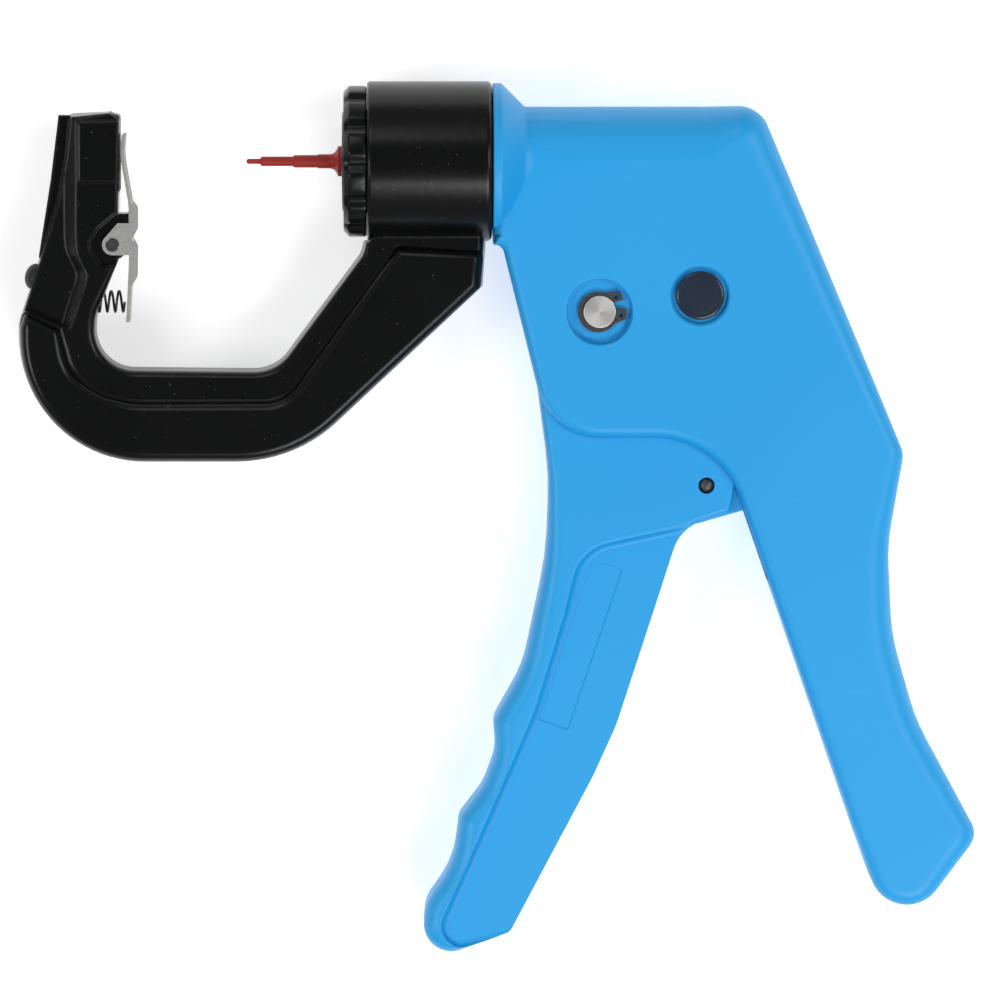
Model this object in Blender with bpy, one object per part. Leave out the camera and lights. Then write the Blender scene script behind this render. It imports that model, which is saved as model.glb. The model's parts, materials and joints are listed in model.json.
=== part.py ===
"""Ear tag applicator: a pistol-shaped hand tool that pushes a pin through the two halves of an ear tag.

The blue handle body carries a black cast jaw on its nose. Squeezing the trigger pulls a link, the link turns
a lever, and the forked top of the lever drives the plunger with its red pin towards the anvil on the jaw.
A coil spring round the plunger brings everything back. The tool lies on its side.

Lengths are in millimetres, in a drawing frame whose origin is on the plunger's axis at the joint of body and
jaw: X runs backwards from there, Y up the picture, and Z out of the side that faces up as the tool lies.
"""
import math

import bmesh
import bpy
from mathutils import Matrix, Vector

MM = 0.001

# Clearances
REST_GAP = 0.3           # between pieces that touch
RUN_GAP = 0.2            # between a pin and the hole that it turns in
TURN = 20                # sides of a round piece
COLLAR_SIDES = 2 * TURN  # sides of the large ones: collar, neck and nose
SMOOTH_ANGLE = math.radians(35)
ARC_STEP = math.radians(18)
MERGE = 1e-4

# Body moulding
BODY_HALF = 16.3         # half of its thickness
BODY_WALL = 3.3
BODY_TOP = 16.9          # top line above the plunger's axis
FLANGE_X = REST_GAP
FLANGE_THICK = 2.5
FLANGE_STEP = 0.2        # the neck's flange inside the collar's rim
NECK_CHAMFER = 0.6
NECK_LENGTH = 8.0        # behind the flange, down to the body's width
NECK_CURVE = [(0.275, 0.12), (0.55, 0.41), (0.8, 0.69), (1, 1)]  # shares of its length and of its drop
NOSE_R = 16.0            # the nose that carries the jaw's collar
NOSE_WALL = 3.5
GRIP_EDGE = 6.0          # edge round of the rear grip
BACK_EDGE = 4.5
ARCH_EDGE = 2.5
PIVOT_BOSS_WALL = 1.8
PIN_END_DEPTH = 0.4      # the lever pin's ends below the body's sides
CORE_EDGE = 0.6          # edge round of the hollow, and of its rounder top
CORE_FRONT_EDGE = 2.0
CORE_BACK_EDGE = 6.0
CORE_TOP_EDGE = 11.0
FRONT_WALL_END = -67.8   # the trigger's front closes the body below this
PAST = 2.0               # how far a cutter runs past the face that it cuts
FUSE = 1.0               # how far a joined shape runs into its carrier
FLUSH = 0.01             # keeps two joined faces out of one plane

# Jaw casting
COLLAR_LENGTH = 38.6
COLLAR_R = 24.8
COLLAR_ROUND = 1.6
JAW_BAND_HALF = 9.5      # the lower band round the throat
JAW_PLATEAU_HALF = 13.5  # the thick part of the curved neck
JAW_ARM_HALF = 6.6       # the thin back of the anvil arm
ANVIL_BLOCK_HALF = 10.3
ANVIL_BLOCK_LENGTH = 19.0
ANVIL_BLOCK_BACK = 12.9   # behind the anvil's face
ANVIL_BLOCK_TOP = 12.7
ANVIL_FACE_X = -115.0
SPINE_HALF = 2.2
INSERT_THICK = 3.0       # hardened plate in the anvil's face
INSERT_HALF = 7.0
INSERT_FOOT = -9.0
INSERT_TOP = 14.4
PIN_RELIEF = 4.0         # hole behind the plate, for the pin's tip
ANVIL_HOLE_R = 2.8
KNOB_PLACE = Vector((-141.3, -35.8))
KNOB_LEAN = math.radians(-13)
KNOB_R = 4.2
KNOB_SINK = 1.6
KNOB_SHANK_R = 2.0
KNOB_SHANK = 6.0
KNOB_DOME = [(0.81, 0), (0.76, 0.38), (0.6, 0.71), (0.31, 0.93), (0, 1)]  # rise, radius

# Lock nut
NUT_LENGTH = 7.0
NUT_STEP = 1.3           # the nut inside the collar's rim
NUT_FLUTES = 12
FLUTE_DEPTH = 1.5
FLUTE_SPAN = math.radians(17)
NUT_CHAMFER = 1.8
NUT_BACK_CHAMFER = 0.6
FLUTE_STATIONS = [-0.5, -0.28, -0.16, 0, 0.16, 0.28]  # shares of the pitch between two flutes

# Plunger and its red pin
PLUNGER_R = 5.0
STROKE = 41.0
SHOULDER_SINK = 2.2      # the plunger's end behind the nut's front, at rest
CROSS_PIN_R = 3.0
PLUNGER_TAIL = 8.0       # plunger behind the cross pin
PIN_OVER_FORK = 2.2      # the cross pin past the fork, on each side
FRONT_CHAMFER = 0.3
TAIL_CHAMFER = 0.8
PIN_CHAMFER = 0.4
THREAD_R = 2.95
THREAD_LENGTH = 12.3
PIN_FLANGE = 3.4
PIN_FLANGE_R = 4.7
PIN_FLARE = [(0.5, 3.5), (1.3, 2.7)]  # past the flange, radius
PIN_FLARE_LENGTH = 2.5
PIN_SECTIONS = [(3.9, 2.2, 0.2), (7.2, 1.95, 0.3), (9.9, 1.5, 0.4), (3.5, 0.8, 0)]  # length, radius, step
PIN_TIP = [(0.5, 0.5), (0.7, 0)]
BUSH_LENGTH = 10.0
BUSH_LIP = 2.2
BUSH_LIP_STEP = 0.4      # the bush's lip inside the nose
BUSH_LIP_ROUND = 0.8
BUSH_LIP_PROUD = 0.5     # of the nut
SPRING_WIRE_R = 0.7
SPRING_COILS = 12
SPRING_FACETS = 10       # chords in a turn of the wire
SEAT_THICK = 2.0
SEAT_TO_CROSS_PIN = 13.0  # keeps the seat clear of the leaning fork
RING_THICK = 1.2
RING_REACH = 1.2         # the ring outside the plunger
RING_GAP = math.radians(50)
PLUNGER_GROOVE = 0.9

# Pivots, in the drawing frame
LEVER_AXIS = Vector((33.1, -45.9))
TRIGGER_AXIS = Vector((64.1, -40.9))
LINK_AXIS = Vector((66.3, -99.9))
CLIP_AXIS = Vector((-117.3, -25.5))
LEVER_PIN_R = 5.0
TRIGGER_PIN_R = 4.0
LINK_PIN_R = 2.2
LINK_PIN_DOME = [(0, 0), (0.2, 0.45), (0.7, 0.82), (1.3, 1)]  # below the trigger's side, share of its radius
CLIP_PIN_R = 1.9
POCKET_ROOM = 5.0        # round the lever's pin, for its circlip
POCKET_DEPTH = 3.0
CAP_R = 7.5
CAP_CLEARANCE = 1.15
CAP_HOLE_DEPTH = 2.0
CAP_GRIP = 0.8           # of the cap on the pin's end
CAP_CROWN = [(1.0, 1), (1.7, 0.92), (2.2, 0.59), (2.35, 0)]  # rise above its foot, share of its radius

# Lever, link and trigger
LEVER_HUB_WALL = 3.3
FORK_PLATE = 2.4
FORK_PRONG = 3.1
FORK_REACH = 4.2         # fork beyond the cross pin at its farthest
FORK_CORNER = 1.5
FORK_FOOT = [(-4, 5.0), (0, 7.6)]  # round the hub: along the fork, across it
FORK_SHOULDER = 8.0      # full width below the slot's end
CRANK_RADIUS = 17.0      # lever pivot to link pin
CRANK_PHASE = math.radians(-44)
CRANK_PIN_R = 2.5
CRANK_EYE_WALL = 2.3
CRANK_EAR = 3.2
LINK_THICK = 5.0
LINK_EYE_WALL = 1.6
LINK_SLACK = 0.7         # play of the link on the crank pin
CHEEK = 2.8
TRIGGER_HUB_WALL = 2.8
LINK_BOSS_WALL = 2.2
TRIGGER_FRONT_WALL = 3.2
TRIGGER_FLOOR = 2.8
TRIGGER_WEB_HALF = 9.6   # half-thickness of the grip beside its front rib
LABEL_DEPTH = 0.4

# Circlips of the lever's pin
CIRCLIP_THICK = 1.2
CIRCLIP_GROOVE = 0.7
CIRCLIP_GAP_AT = math.radians(17.5)
CIRCLIP_EAR_TURN = math.radians(25.8)
CIRCLIP_EAR_OUT = 1.6    # middle of an ear outside the pin
CIRCLIP_EAR_R = 1.7
CIRCLIP_EYE_R = 0.8
CIRCLIP_SIDE_CLEARANCE = 0.15
CIRCLIP_NARROW = 1.3     # the ring's width at its gap
CIRCLIP_SWELL = 0.9      # and how much wider it is opposite

# Tag clip
CLIP_THICK = 1.1
CLIP_HALF = 8.4
CLIP_FORK_HALF = 3.2
CLIP_EYE_WALL = 1.1
CLIP_FORK_FOOT = -12.5
CLIP_LUG_RISE = 6.7
CLIP_SPRING_Y = -43.4
CLIP_SPRING_R = 3.6
CLIP_WIRE_R = 0.4
CLIP_COILS = 3.5
CLIP_SOCKET_X = -123.0
CLIP_PATH = [(-113.7, 8.6), (-114.1, 1.8), (-112.6, -8.0), (-111.7, -14.8), (-111.65, -29.4), (-112.6, -49.4)]
CLIP_BOSS_R = 4.8
CLIP_POCKET = [
    (-112.0, -13.6, 0, 0), (-116.9, -16.2, 1, 0), (-121.9, -20.4, 3, 0), (-125.0, -25.6, 3, 0),
    (-120.4, -33.2, 3, 0), (-115.0, -31.4, 0, 0), (-112.0, -31.4, 0, 0),
]

# Values that follow from those above
CAVITY_HALF = BODY_HALF - BODY_WALL
TRIGGER_HALF = CAVITY_HALF - REST_GAP
CHEEK_INNER = TRIGGER_HALF - CHEEK
LEVER_HALF = CHEEK_INNER - REST_GAP
FORK_INNER = LEVER_HALF - FORK_PLATE
CAVITY_FRONT_X = FLANGE_X + BODY_WALL
CAVITY_TOP = BODY_TOP - BODY_WALL
FLANGE_R = COLLAR_R - FLANGE_STEP
NECK_X = FLANGE_X + FLANGE_THICK
NECK_END_X = NECK_X + NECK_LENGTH
NUT_R = COLLAR_R - NUT_STEP
BUSH_LIP_R = NOSE_R - BUSH_LIP_STEP
POCKET_R = LEVER_PIN_R + POCKET_ROOM
CAP_HOLE_R = CAP_R + CAP_CLEARANCE
LEVER_HUB_R = LEVER_PIN_R + RUN_GAP + LEVER_HUB_WALL
TRIGGER_HUB_R = TRIGGER_PIN_R + RUN_GAP + TRIGGER_HUB_WALL
CRANK_EYE_R = CRANK_PIN_R + RUN_GAP + CRANK_EYE_WALL
LINK_EYE_R = CRANK_PIN_R + LINK_SLACK + LINK_EYE_WALL
CIRCLIP_EAR_PLACE = LEVER_PIN_R + CIRCLIP_EAR_OUT
CLIP_EYE_R = CLIP_PIN_R + RUN_GAP + CLIP_EYE_WALL
CLIP_LUG_INNER = CLIP_HALF - CLIP_THICK
CLIP_BOSS_HALF = CLIP_LUG_INNER - REST_GAP
LEVER_SWING = math.atan2(STROKE / 2, -LEVER_AXIS.y)
CROSS_PIN_X = LEVER_AXIS.x + STROKE / 2
COLLAR_FRONT_X = -COLLAR_LENGTH
COLLAR_MIDDLE_R = (NOSE_R + COLLAR_R) / 2
NUT_BACK_X = COLLAR_FRONT_X - REST_GAP
NUT_FRONT_X = NUT_BACK_X - NUT_LENGTH
NOSE_BORE_R = NOSE_R - NOSE_WALL
PIN_SHOULDER_X = NUT_FRONT_X + SHOULDER_SINK
BUSH_LIP_X = NUT_FRONT_X - BUSH_LIP_PROUD
NOSE_FRONT_X = BUSH_LIP_X + BUSH_LIP + REST_GAP
BUSH_BACK_X = NOSE_FRONT_X + BUSH_LENGTH
SPRING_R = (PLUNGER_R + RUN_GAP + SPRING_WIRE_R) / math.cos(math.pi / SPRING_FACETS)
SPRING_FRONT_X = BUSH_BACK_X + REST_GAP
SEAT_R = SPRING_R + SPRING_WIRE_R
SEAT_BACK_X = CROSS_PIN_X - SEAT_TO_CROSS_PIN
SEAT_FRONT_X = SEAT_BACK_X - SEAT_THICK
PLUNGER_END_X = CROSS_PIN_X + PLUNGER_TAIL
BOSS_R = POCKET_R + PIVOT_BOSS_WALL
POCKET_FLOOR = BODY_HALF - POCKET_DEPTH

# Shapes


def filleted(knots, counts=None):
    """Points of a closed outline whose knots (x, y, corner radius, edge round) become arcs."""
    counts = counts or arc_counts(knots)
    points = []
    for index, (x, y, radius, _) in enumerate(knots):
        here = Vector((x, y))
        back = (Vector(knots[index - 1][:2]) - here).normalized()
        ahead = (Vector(knots[(index + 1) % len(knots)][:2]) - here).normalized()
        turn = math.pi - back.angle(ahead)
        if counts[index] == 0 or radius < MERGE:
            points += [(x, y)] * (counts[index] + 1)
            continue
        reach = radius * math.tan(turn / 2)
        centre = here + (back + ahead).normalized() * (radius / math.cos(turn / 2))
        start = here + back * reach - centre
        end = here + ahead * reach - centre
        sweep = start.angle_signed(end)
        for i in range(counts[index] + 1):
            spoke = start.copy()
            spoke.rotate(Matrix.Rotation(-sweep * i / counts[index], 2))
            points.append((centre.x + spoke.x, centre.y + spoke.y))
    return points


def arc_counts(knots):
    """How many chords each knot's arc takes."""
    counts = []
    for index, (x, y, radius, _) in enumerate(knots):
        here = Vector((x, y))
        back = here - Vector(knots[index - 1][:2])
        ahead = Vector(knots[(index + 1) % len(knots)][:2]) - here
        turn = back.angle(ahead)
        counts.append(0 if radius <= 0 or turn < 1e-3 else max(1, round(turn / ARC_STEP)))
    return counts


def signed_area(points):
    return sum(a[0] * b[1] - b[0] * a[1] for a, b in zip(points, points[1:] + points[:1])) / 2


def inset(knots, share, half):
    """The outline moved inwards at every knot by a share of that knot's edge round."""
    moved = []
    for index, (x, y, radius, edge) in enumerate(knots):
        here = Vector((x, y))
        back = (here - Vector(knots[index - 1][:2])).normalized()
        ahead = (Vector(knots[(index + 1) % len(knots)][:2]) - here).normalized()
        normal = Vector((-back.y, back.x))
        bisector = (normal + Vector((-ahead.y, ahead.x))).normalized()
        depth = min(edge, half) * share
        place = here + bisector * (depth / bisector.dot(normal))
        convex = back.cross(ahead) > 0
        moved.append((place.x, place.y, max(radius - depth, 0) if convex else radius + depth, edge))
    return moved


def slab(knots, half, levels=2):
    """A plate whose rim is rounded towards both faces by each knot's own edge round."""
    knots = knots if signed_area(knots) > 0 else knots[::-1]
    counts = arc_counts(knots)
    edges = [min(knot[3], half) for knot, count in zip(knots, counts) for _ in range(count + 1)]
    bm = bmesh.new()
    layers = []
    for level in range(2 * levels + 2):
        side = -1 if level <= levels else 1
        quarter = abs(level - levels - (side > 0)) / levels * math.pi / 2
        outline = filleted(inset(knots, 1 - math.cos(quarter), half), counts)
        layers.append([
            bm.verts.new((x, y, side * (half - edge * (1 - math.sin(quarter)))))
            for (x, y), edge in zip(outline, edges)
        ])
    count = len(edges)
    for one, two in zip(layers, layers[1:]):
        for i in range(count):
            j = (i + 1) % count
            bm.faces.new((one[i], one[j], two[j], two[i]))
    bm.faces.new(layers[0][::-1])
    bm.faces.new(layers[-1])
    bmesh.ops.remove_doubles(bm, verts=bm.verts, dist=MERGE)
    bmesh.ops.dissolve_degenerate(bm, edges=bm.edges, dist=MERGE)
    return bm


def prism(outline, low, high, shrink_high=None):
    """A straight plate, or a drafted one when the upper outline is given."""
    flat = [(p[0], p[1]) for p in outline]
    top = [(p[0], p[1]) for p in (shrink_high or outline)]
    bm = bmesh.new()
    lower = [bm.verts.new((x, y, low)) for x, y in flat]
    upper = [bm.verts.new((x, y, high)) for x, y in top]
    for i in range(len(flat)):
        j = (i + 1) % len(flat)
        bm.faces.new((lower[i], lower[j], upper[j], upper[i]))
    bm.faces.new(lower[::-1])
    bm.faces.new(upper)
    bmesh.ops.recalc_face_normals(bm, faces=bm.faces)
    return bm


def turned(profile, along="Z", centre=(0, 0), steps=TURN, ring=False):
    """A body of revolution from (place, radius) points; a ring's profile closes on itself."""
    bm = bmesh.new()
    rows = []
    for place, radius in profile:
        if radius < 1e-6:
            rows.append([bm.verts.new(oriented(place, 0, 0, along, centre))])
            continue
        row = []
        for i in range(steps):
            angle = 2 * math.pi * (i + 0.5) / steps
            across = radius * math.cos(angle)
            up = radius * math.sin(angle)
            row.append(bm.verts.new(oriented(place, across, up, along, centre)))
        rows.append(row)
    pairs = list(zip(rows, rows[1:]))
    if ring:
        pairs.append((rows[-1], rows[0]))
    for one, two in pairs:
        for i in range(steps):
            j = (i + 1) % steps
            corners = [one[i % len(one)], one[j % len(one)], two[j % len(two)], two[i % len(two)]]
            bm.faces.new(list(dict.fromkeys(corners)))
    if not ring:
        for row in (rows[0], rows[-1]):
            if len(row) > 1:
                bm.faces.new(row)
    bmesh.ops.recalc_face_normals(bm, faces=bm.faces)
    return bm


def oriented(place, across, up, along, centre):
    if along == "X":
        return place, across + centre[0], up + centre[1]
    return across + centre[0], up + centre[1], place


def rod(radius, low, high, along="Z", centre=(0, 0), steps=TURN):
    return turned([(low, radius), (high, radius)], along, centre, steps)


def tube(inner, outer, low, high, along="Z", centre=(0, 0), steps=TURN):
    profile = [(low, inner), (low, outer), (high, outer), (high, inner)]
    return turned(profile, along, centre, steps, ring=True)


def coil(mean_r, wire_r, start, end, turns, centre=(0, 0), per_turn=12, sides=5):
    """A helical wire along X with closed ends."""
    bm = bmesh.new()
    total = round(turns * per_turn)
    rows = []
    for k in range(total + 1):
        share = k / total
        angle = 2 * math.pi * turns * share
        outward = Vector((0, math.cos(angle), math.sin(angle)))
        place = start + wire_r + (end - start - 2 * wire_r) * share
        middle = Vector((place, centre[0], centre[1])) + outward * mean_r
        row = []
        for i in range(sides):
            phi = 2 * math.pi * i / sides
            offset = outward * math.cos(phi) * wire_r + Vector((1, 0, 0)) * math.sin(phi) * wire_r
            row.append(bm.verts.new(middle + offset))
        rows.append(row)
    for one, two in zip(rows, rows[1:]):
        for i in range(sides):
            j = (i + 1) % sides
            bm.faces.new((one[i], one[j], two[j], two[i]))
    bm.faces.new(rows[0])
    bm.faces.new(rows[-1])
    bmesh.ops.recalc_face_normals(bm, faces=bm.faces)
    return bm


def circle(radius, centre, count=TURN, start=0.0, sweep=2 * math.pi):
    closed = abs(sweep - 2 * math.pi) < 1e-9
    last = count if closed else count - 1
    angles = [start + sweep * i / last for i in range(count)]
    return [(centre[0] + radius * math.cos(a), centre[1] + radius * math.sin(a)) for a in angles]


# Scene helpers


def clear_scene():
    for item in list(bpy.data.objects):
        bpy.data.objects.remove(item, do_unlink=True)


def finish(name, colour, roughness, metallic=0.0):
    material = bpy.data.materials.new(name)
    material.use_nodes = True
    shader = material.node_tree.nodes["Principled BSDF"]
    shader.inputs["Base Color"].default_value = (*colour, 1.0)
    shader.inputs["Roughness"].default_value = roughness
    shader.inputs["Metallic"].default_value = metallic
    return material


def axis_empty(name, x, y, parent, parent_place=Vector((0, 0))):
    empty = bpy.data.objects.new(name, None)
    empty.empty_display_size = 0.01
    empty.location = ((x - parent_place.x) * MM, (y - parent_place.y) * MM, 0)
    empty.parent = parent
    bpy.context.scene.collection.objects.link(empty)
    return empty


def add(name, bm, material, carrier):
    """Link a mesh drawn in the drawing frame, with its origin on its carrier's axis."""
    empty, place = carrier
    bmesh.ops.translate(bm, verts=bm.verts, vec=(-place.x, -place.y, 0))
    bmesh.ops.scale(bm, verts=bm.verts, vec=(MM, MM, MM))
    mesh = bpy.data.meshes.new(name)
    bm.to_mesh(mesh)
    bm.free()
    if material:
        mesh.materials.append(material)
    mesh.shade_smooth()
    mesh.set_sharp_from_angle(angle=SMOOTH_ANGLE)
    item = bpy.data.objects.new(name, mesh)
    item.parent = empty
    bpy.context.scene.collection.objects.link(item)
    return item


def shape(target, bm, operation, carrier, label):
    """Join or cut a hidden helper solid with a live Boolean."""
    helper = add(f"{target.name}_{label}", bm, None, carrier)
    helper.hide_render = True
    helper.display_type = "WIRE"
    modifier = target.modifiers.new(label, "BOOLEAN")
    modifier.operation = operation
    modifier.object = helper
    modifier.solver = "EXACT"


# Outlines: each knot is x, y, corner radius, edge round

TOP_LINE = [(FLANGE_X + FUSE, BODY_TOP, 0, BODY_HALF), (66, BODY_TOP, 0, BODY_HALF)]
BACK_LINE = [
    (82.9, BODY_TOP, 9, 9), (127.4, -90, 8, BACK_EDGE), (122.6, -119, 60, BACK_EDGE),
    (124.2, -147, 60, GRIP_EDGE), (131.6, -173, 60, GRIP_EDGE),
]
GRIP_END = [
    (148.4, -201.6, 10, GRIP_EDGE), (151.2, -212.2, 5, BACK_EDGE), (137.6, -229.6, 7, BACK_EDGE),
    (127.6, -232.6, 9, BACK_EDGE), (119.4, -227.4, 12, BACK_EDGE), (112.2, -207, 30, ARCH_EDGE),
]
ARCH_LINE = [(70.2, -84.4, 28, ARCH_EDGE), (17.6, -84.2, 12, ARCH_EDGE)]
CHIN_LINE = [(3.4, -27, 3, ARCH_EDGE), (FLANGE_X + FUSE, -25.2, 0, ARCH_EDGE)]
CORE_GRIP = [(131, -200, 4, CORE_EDGE), (114, -205, 4, CORE_EDGE), (94.5, -142, 6, CORE_EDGE)]
CORE_MOUTH = [
    (86, -134, 0, CORE_EDGE), (66, -128, 0, CORE_EDGE), (24, -110, 0, CORE_EDGE), (8, -72, 0, CORE_EDGE),
]

TRIGGER_TOP = [
    (13.9, -70.2, 3, 2), (55.4, -49.2, 10, 1), (56.1, -32.9, 8, 1), (72.1, -32.9, 8, 1), (74.6, -60, 30, 1),
]
TRIGGER_HEEL = [(75.4, -98.5, 3, 1), (73.6, -108.2, 2, 1.5), (58.4, -113.2, 14, 2)]
TRIGGER_BACK = [(50.2, -138.8, 60, 2), (38.6, -174.5, 40, 2.5), (31.4, -190.5, 40, 3), (16, -216.9, 60, 3)]
TRIGGER_TOE = [(6.0, -240.4, 5, 3), (-12.0, -246.0, 6, 3), (-24.0, -241.0, 5.5, 4), (-18.9, -229.2, 22, 6)]
FINGER_REST = [
    (-11.6, -216.6, 26, 6), (-10.4, -203.6, 5, 6), (-2.6, -193.6, 18, 6),
    (1.2, -183.0, 16, 6), (0.4, -173.2, 7, 6),
]
TRIGGER_FRONT = [(9.6, -157.0, 40, 6), (16.8, -123.0, 90, 5), (17.9, -98.0, 90, 3), (14.6, -72.8, 0, 2)]
FOOT_LINE = [(20.4, -114.8, 2, 0), (50, -113.7, 20, 0), (74.5, -108.2, 0, 0)]
TONGUE = [(58, -113.4), (68, -110.6), (79.4, -107.3), (79.4, -104.9), (68, -107.9), (60, -110.4)]
RECESS_TOP = [(24.6, -127.6, 6, 0), (33.2, -118.9, 10, 0), (62.1, -112.6, 0, 0), (78, -111, 0, 0)]
RECESS_BACK = [(70, -150, 0, 0), (30, -215, 0, 0), (12, -236.6, 0, 0)]
RECESS_TOE = [(3.4, -238.2, 3, 0), (-10, -242.4, 5, 0), (-17, -238.2, 4, 0)]
RECESS_FRONT = [(-1.8, -205.3, 60, 0), (13.4, -170.6, 60, 0), (22.6, -140.4, 40, 0)]
LABEL_CORNERS = [(31.1, -123.3, 0.6, 0), (40.4, -126.1, 0.6, 0), (23.5, -176.2, 0.6, 0), (14.4, -172.8, 0.6, 0)]

ARM_FLOOR_EDGE = [
    (-133.1, -51.2), (-130.7, -42.9), (-128.3, -35.4), (-129.6, -31.2), (-131.8, -24.9), (-132.0, 20),
]
ARM_BROW_EDGE = [
    (-130.4, -51.6), (-127.6, -43.6), (-125.2, -35.4), (-127.2, -30.2), (-128.4, -24.9), (-128.4, 20),
]
ARM_STEP = [(-150, 20), (-150, -43.3)]
SPINE = [(-133.0, 14.6), (-136.9, 14.2), (-139.4, -13), (-141.2, -30), (-137.0, -30)]
CLIP_LOBES = [
    (-0.3, -11.4, 0, 0), (1.9, -14.4, 1.5, 0), (1.9, -21.0, 1.5, 0), (0.4, -23.7, 1, 0),
    (1.9, -26.4, 1.5, 0), (1.7, -36.0, 1.5, 0), (-0.5, -39.6, 0, 0),
]


def body_outline():
    return TOP_LINE + BACK_LINE + GRIP_END + ARCH_LINE + CHIN_LINE


def cavity_outline():
    """The hollow of the body, one wall inside it, open at the arch and at the top of the grip's front."""
    inner = inset([(x, y, radius, BODY_WALL) for x, y, radius, _ in body_outline()[::-1]], 1, BODY_WALL)[::-1]
    first = len(TOP_LINE)
    back = [(x, y, radius, CORE_EDGE) for x, y, radius, _ in inner[first:first + len(BACK_LINE)]]
    back[0] = (*back[0][:3], CORE_BACK_EDGE)
    arch, chin = inner[-3], inner[-2]
    along = (FRONT_WALL_END - chin[1]) / (arch[1] - chin[1])
    front_end = (chin[0] + (arch[0] - chin[0]) * along, FRONT_WALL_END, 1, CORE_EDGE)
    top = [(CAVITY_FRONT_X, CORE_FRONT_EDGE), (NECK_END_X, CORE_TOP_EDGE), (TOP_LINE[-1][0], CORE_TOP_EDGE)]
    lines = [(x, CAVITY_TOP, 0, edge) for x, edge in top] + back + CORE_GRIP + CORE_MOUTH
    return lines + [front_end, (chin[0], chin[1], 0, CORE_EDGE), (CAVITY_FRONT_X, -CAVITY_TOP, 0, CORE_EDGE)]


def trigger_outline():
    return TRIGGER_TOP + TRIGGER_HEEL + TRIGGER_BACK + TRIGGER_TOE + FINGER_REST + TRIGGER_FRONT


def channel_outline():
    """Room between the trigger's cheeks, one wall behind its front, open at the top and at the rear."""
    front = [(x + TRIGGER_FRONT_WALL, y, 0, 0) for x, y, _, _ in TRIGGER_FRONT[:1:-1]]
    top = TRIGGER_TOP[2][1] + TRIGGER_HUB_R
    rear = TRIGGER_HEEL[0][0] + TRIGGER_HUB_R
    floor = [(x, y + TRIGGER_FLOOR, radius, edge) for x, y, radius, edge in FOOT_LINE]
    foot = floor[-1][1] + FUSE
    opening = [(rear, foot, 0, 0), (rear, top, 0, 0), (front[0][0] + CRANK_RADIUS, top, 0, 0)]
    return filleted([(front[0][0], front[0][1] + LEVER_PIN_R, 0, 0)] + front + floor + opening)


def grip_recess_outline():
    """The side recess of the trigger's grip, behind its thick front rib."""
    return filleted(RECESS_TOP + RECESS_BACK + RECESS_TOE + RECESS_FRONT)


def arm_side(edge):
    """The area beside the anvil arm's thin back, up to one of its two ridge lines."""
    return ARM_STEP + edge


def jaw_outline():
    return [
        (-133.6, 14.9, 1.2, 1),
        (-141.4, -38.0, 40, 2),
        (-148.2, -60.0, 22, 2.5),
        (-141.0, -84.0, 24, 2.5),
        (-120.0, -93.2, 26, 2.5),
        (-61.0, -93.2, 45, 2.5),
        (-2.8, -38.6, 1.5, 2.5),
        (-1.6, -COLLAR_MIDDLE_R, 0, 2),
        (-33.5, -COLLAR_MIDDLE_R, 0, 2),
        (-39.4, -26.7, 0, 2),
        (-67.2, -64.2, 13, 2.5),
        (-123.2, -63.6, 12, 2.5),
        (-122.2, -47.0, 14, 2.5),
        (-115.8, -30.4, 4, 1),
        (-115.8, -16.0, 0, 1),
        (ANVIL_FACE_X, 13.2, 1.0, 1),
        (-118.0, 15.3, 0, 1),
    ]


def plateau_outline():
    return [
        (-29.0, -26.4, 1, 3),
        (-64.2, -74.2, 12, 3),
        (-117.4, -74.2, 12, 3),
        (-132.6, -51.2, 1, 2),
        (-144.6, -46.0, 1, 2),
        (-147.0, -62.0, 20, 3),
        (-141.0, -83.6, 24, 3),
        (-120.0, -92.7, 26, 3),
        (-61.2, -92.7, 45, 3),
        (-3.4, -38.9, 1.5, 3),
        (-2.4, -26.0, 0, 2),
        (-2.4, -COLLAR_MIDDLE_R, 0, 2),
        (-25.2, -COLLAR_MIDDLE_R, 0, 2),
    ]


# Pieces


def both_sides(inner, outer):
    """Label and height range of what is alike on both sides of the middle plane."""
    return [("near", inner, outer), ("far", -outer, -inner)]


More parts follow.
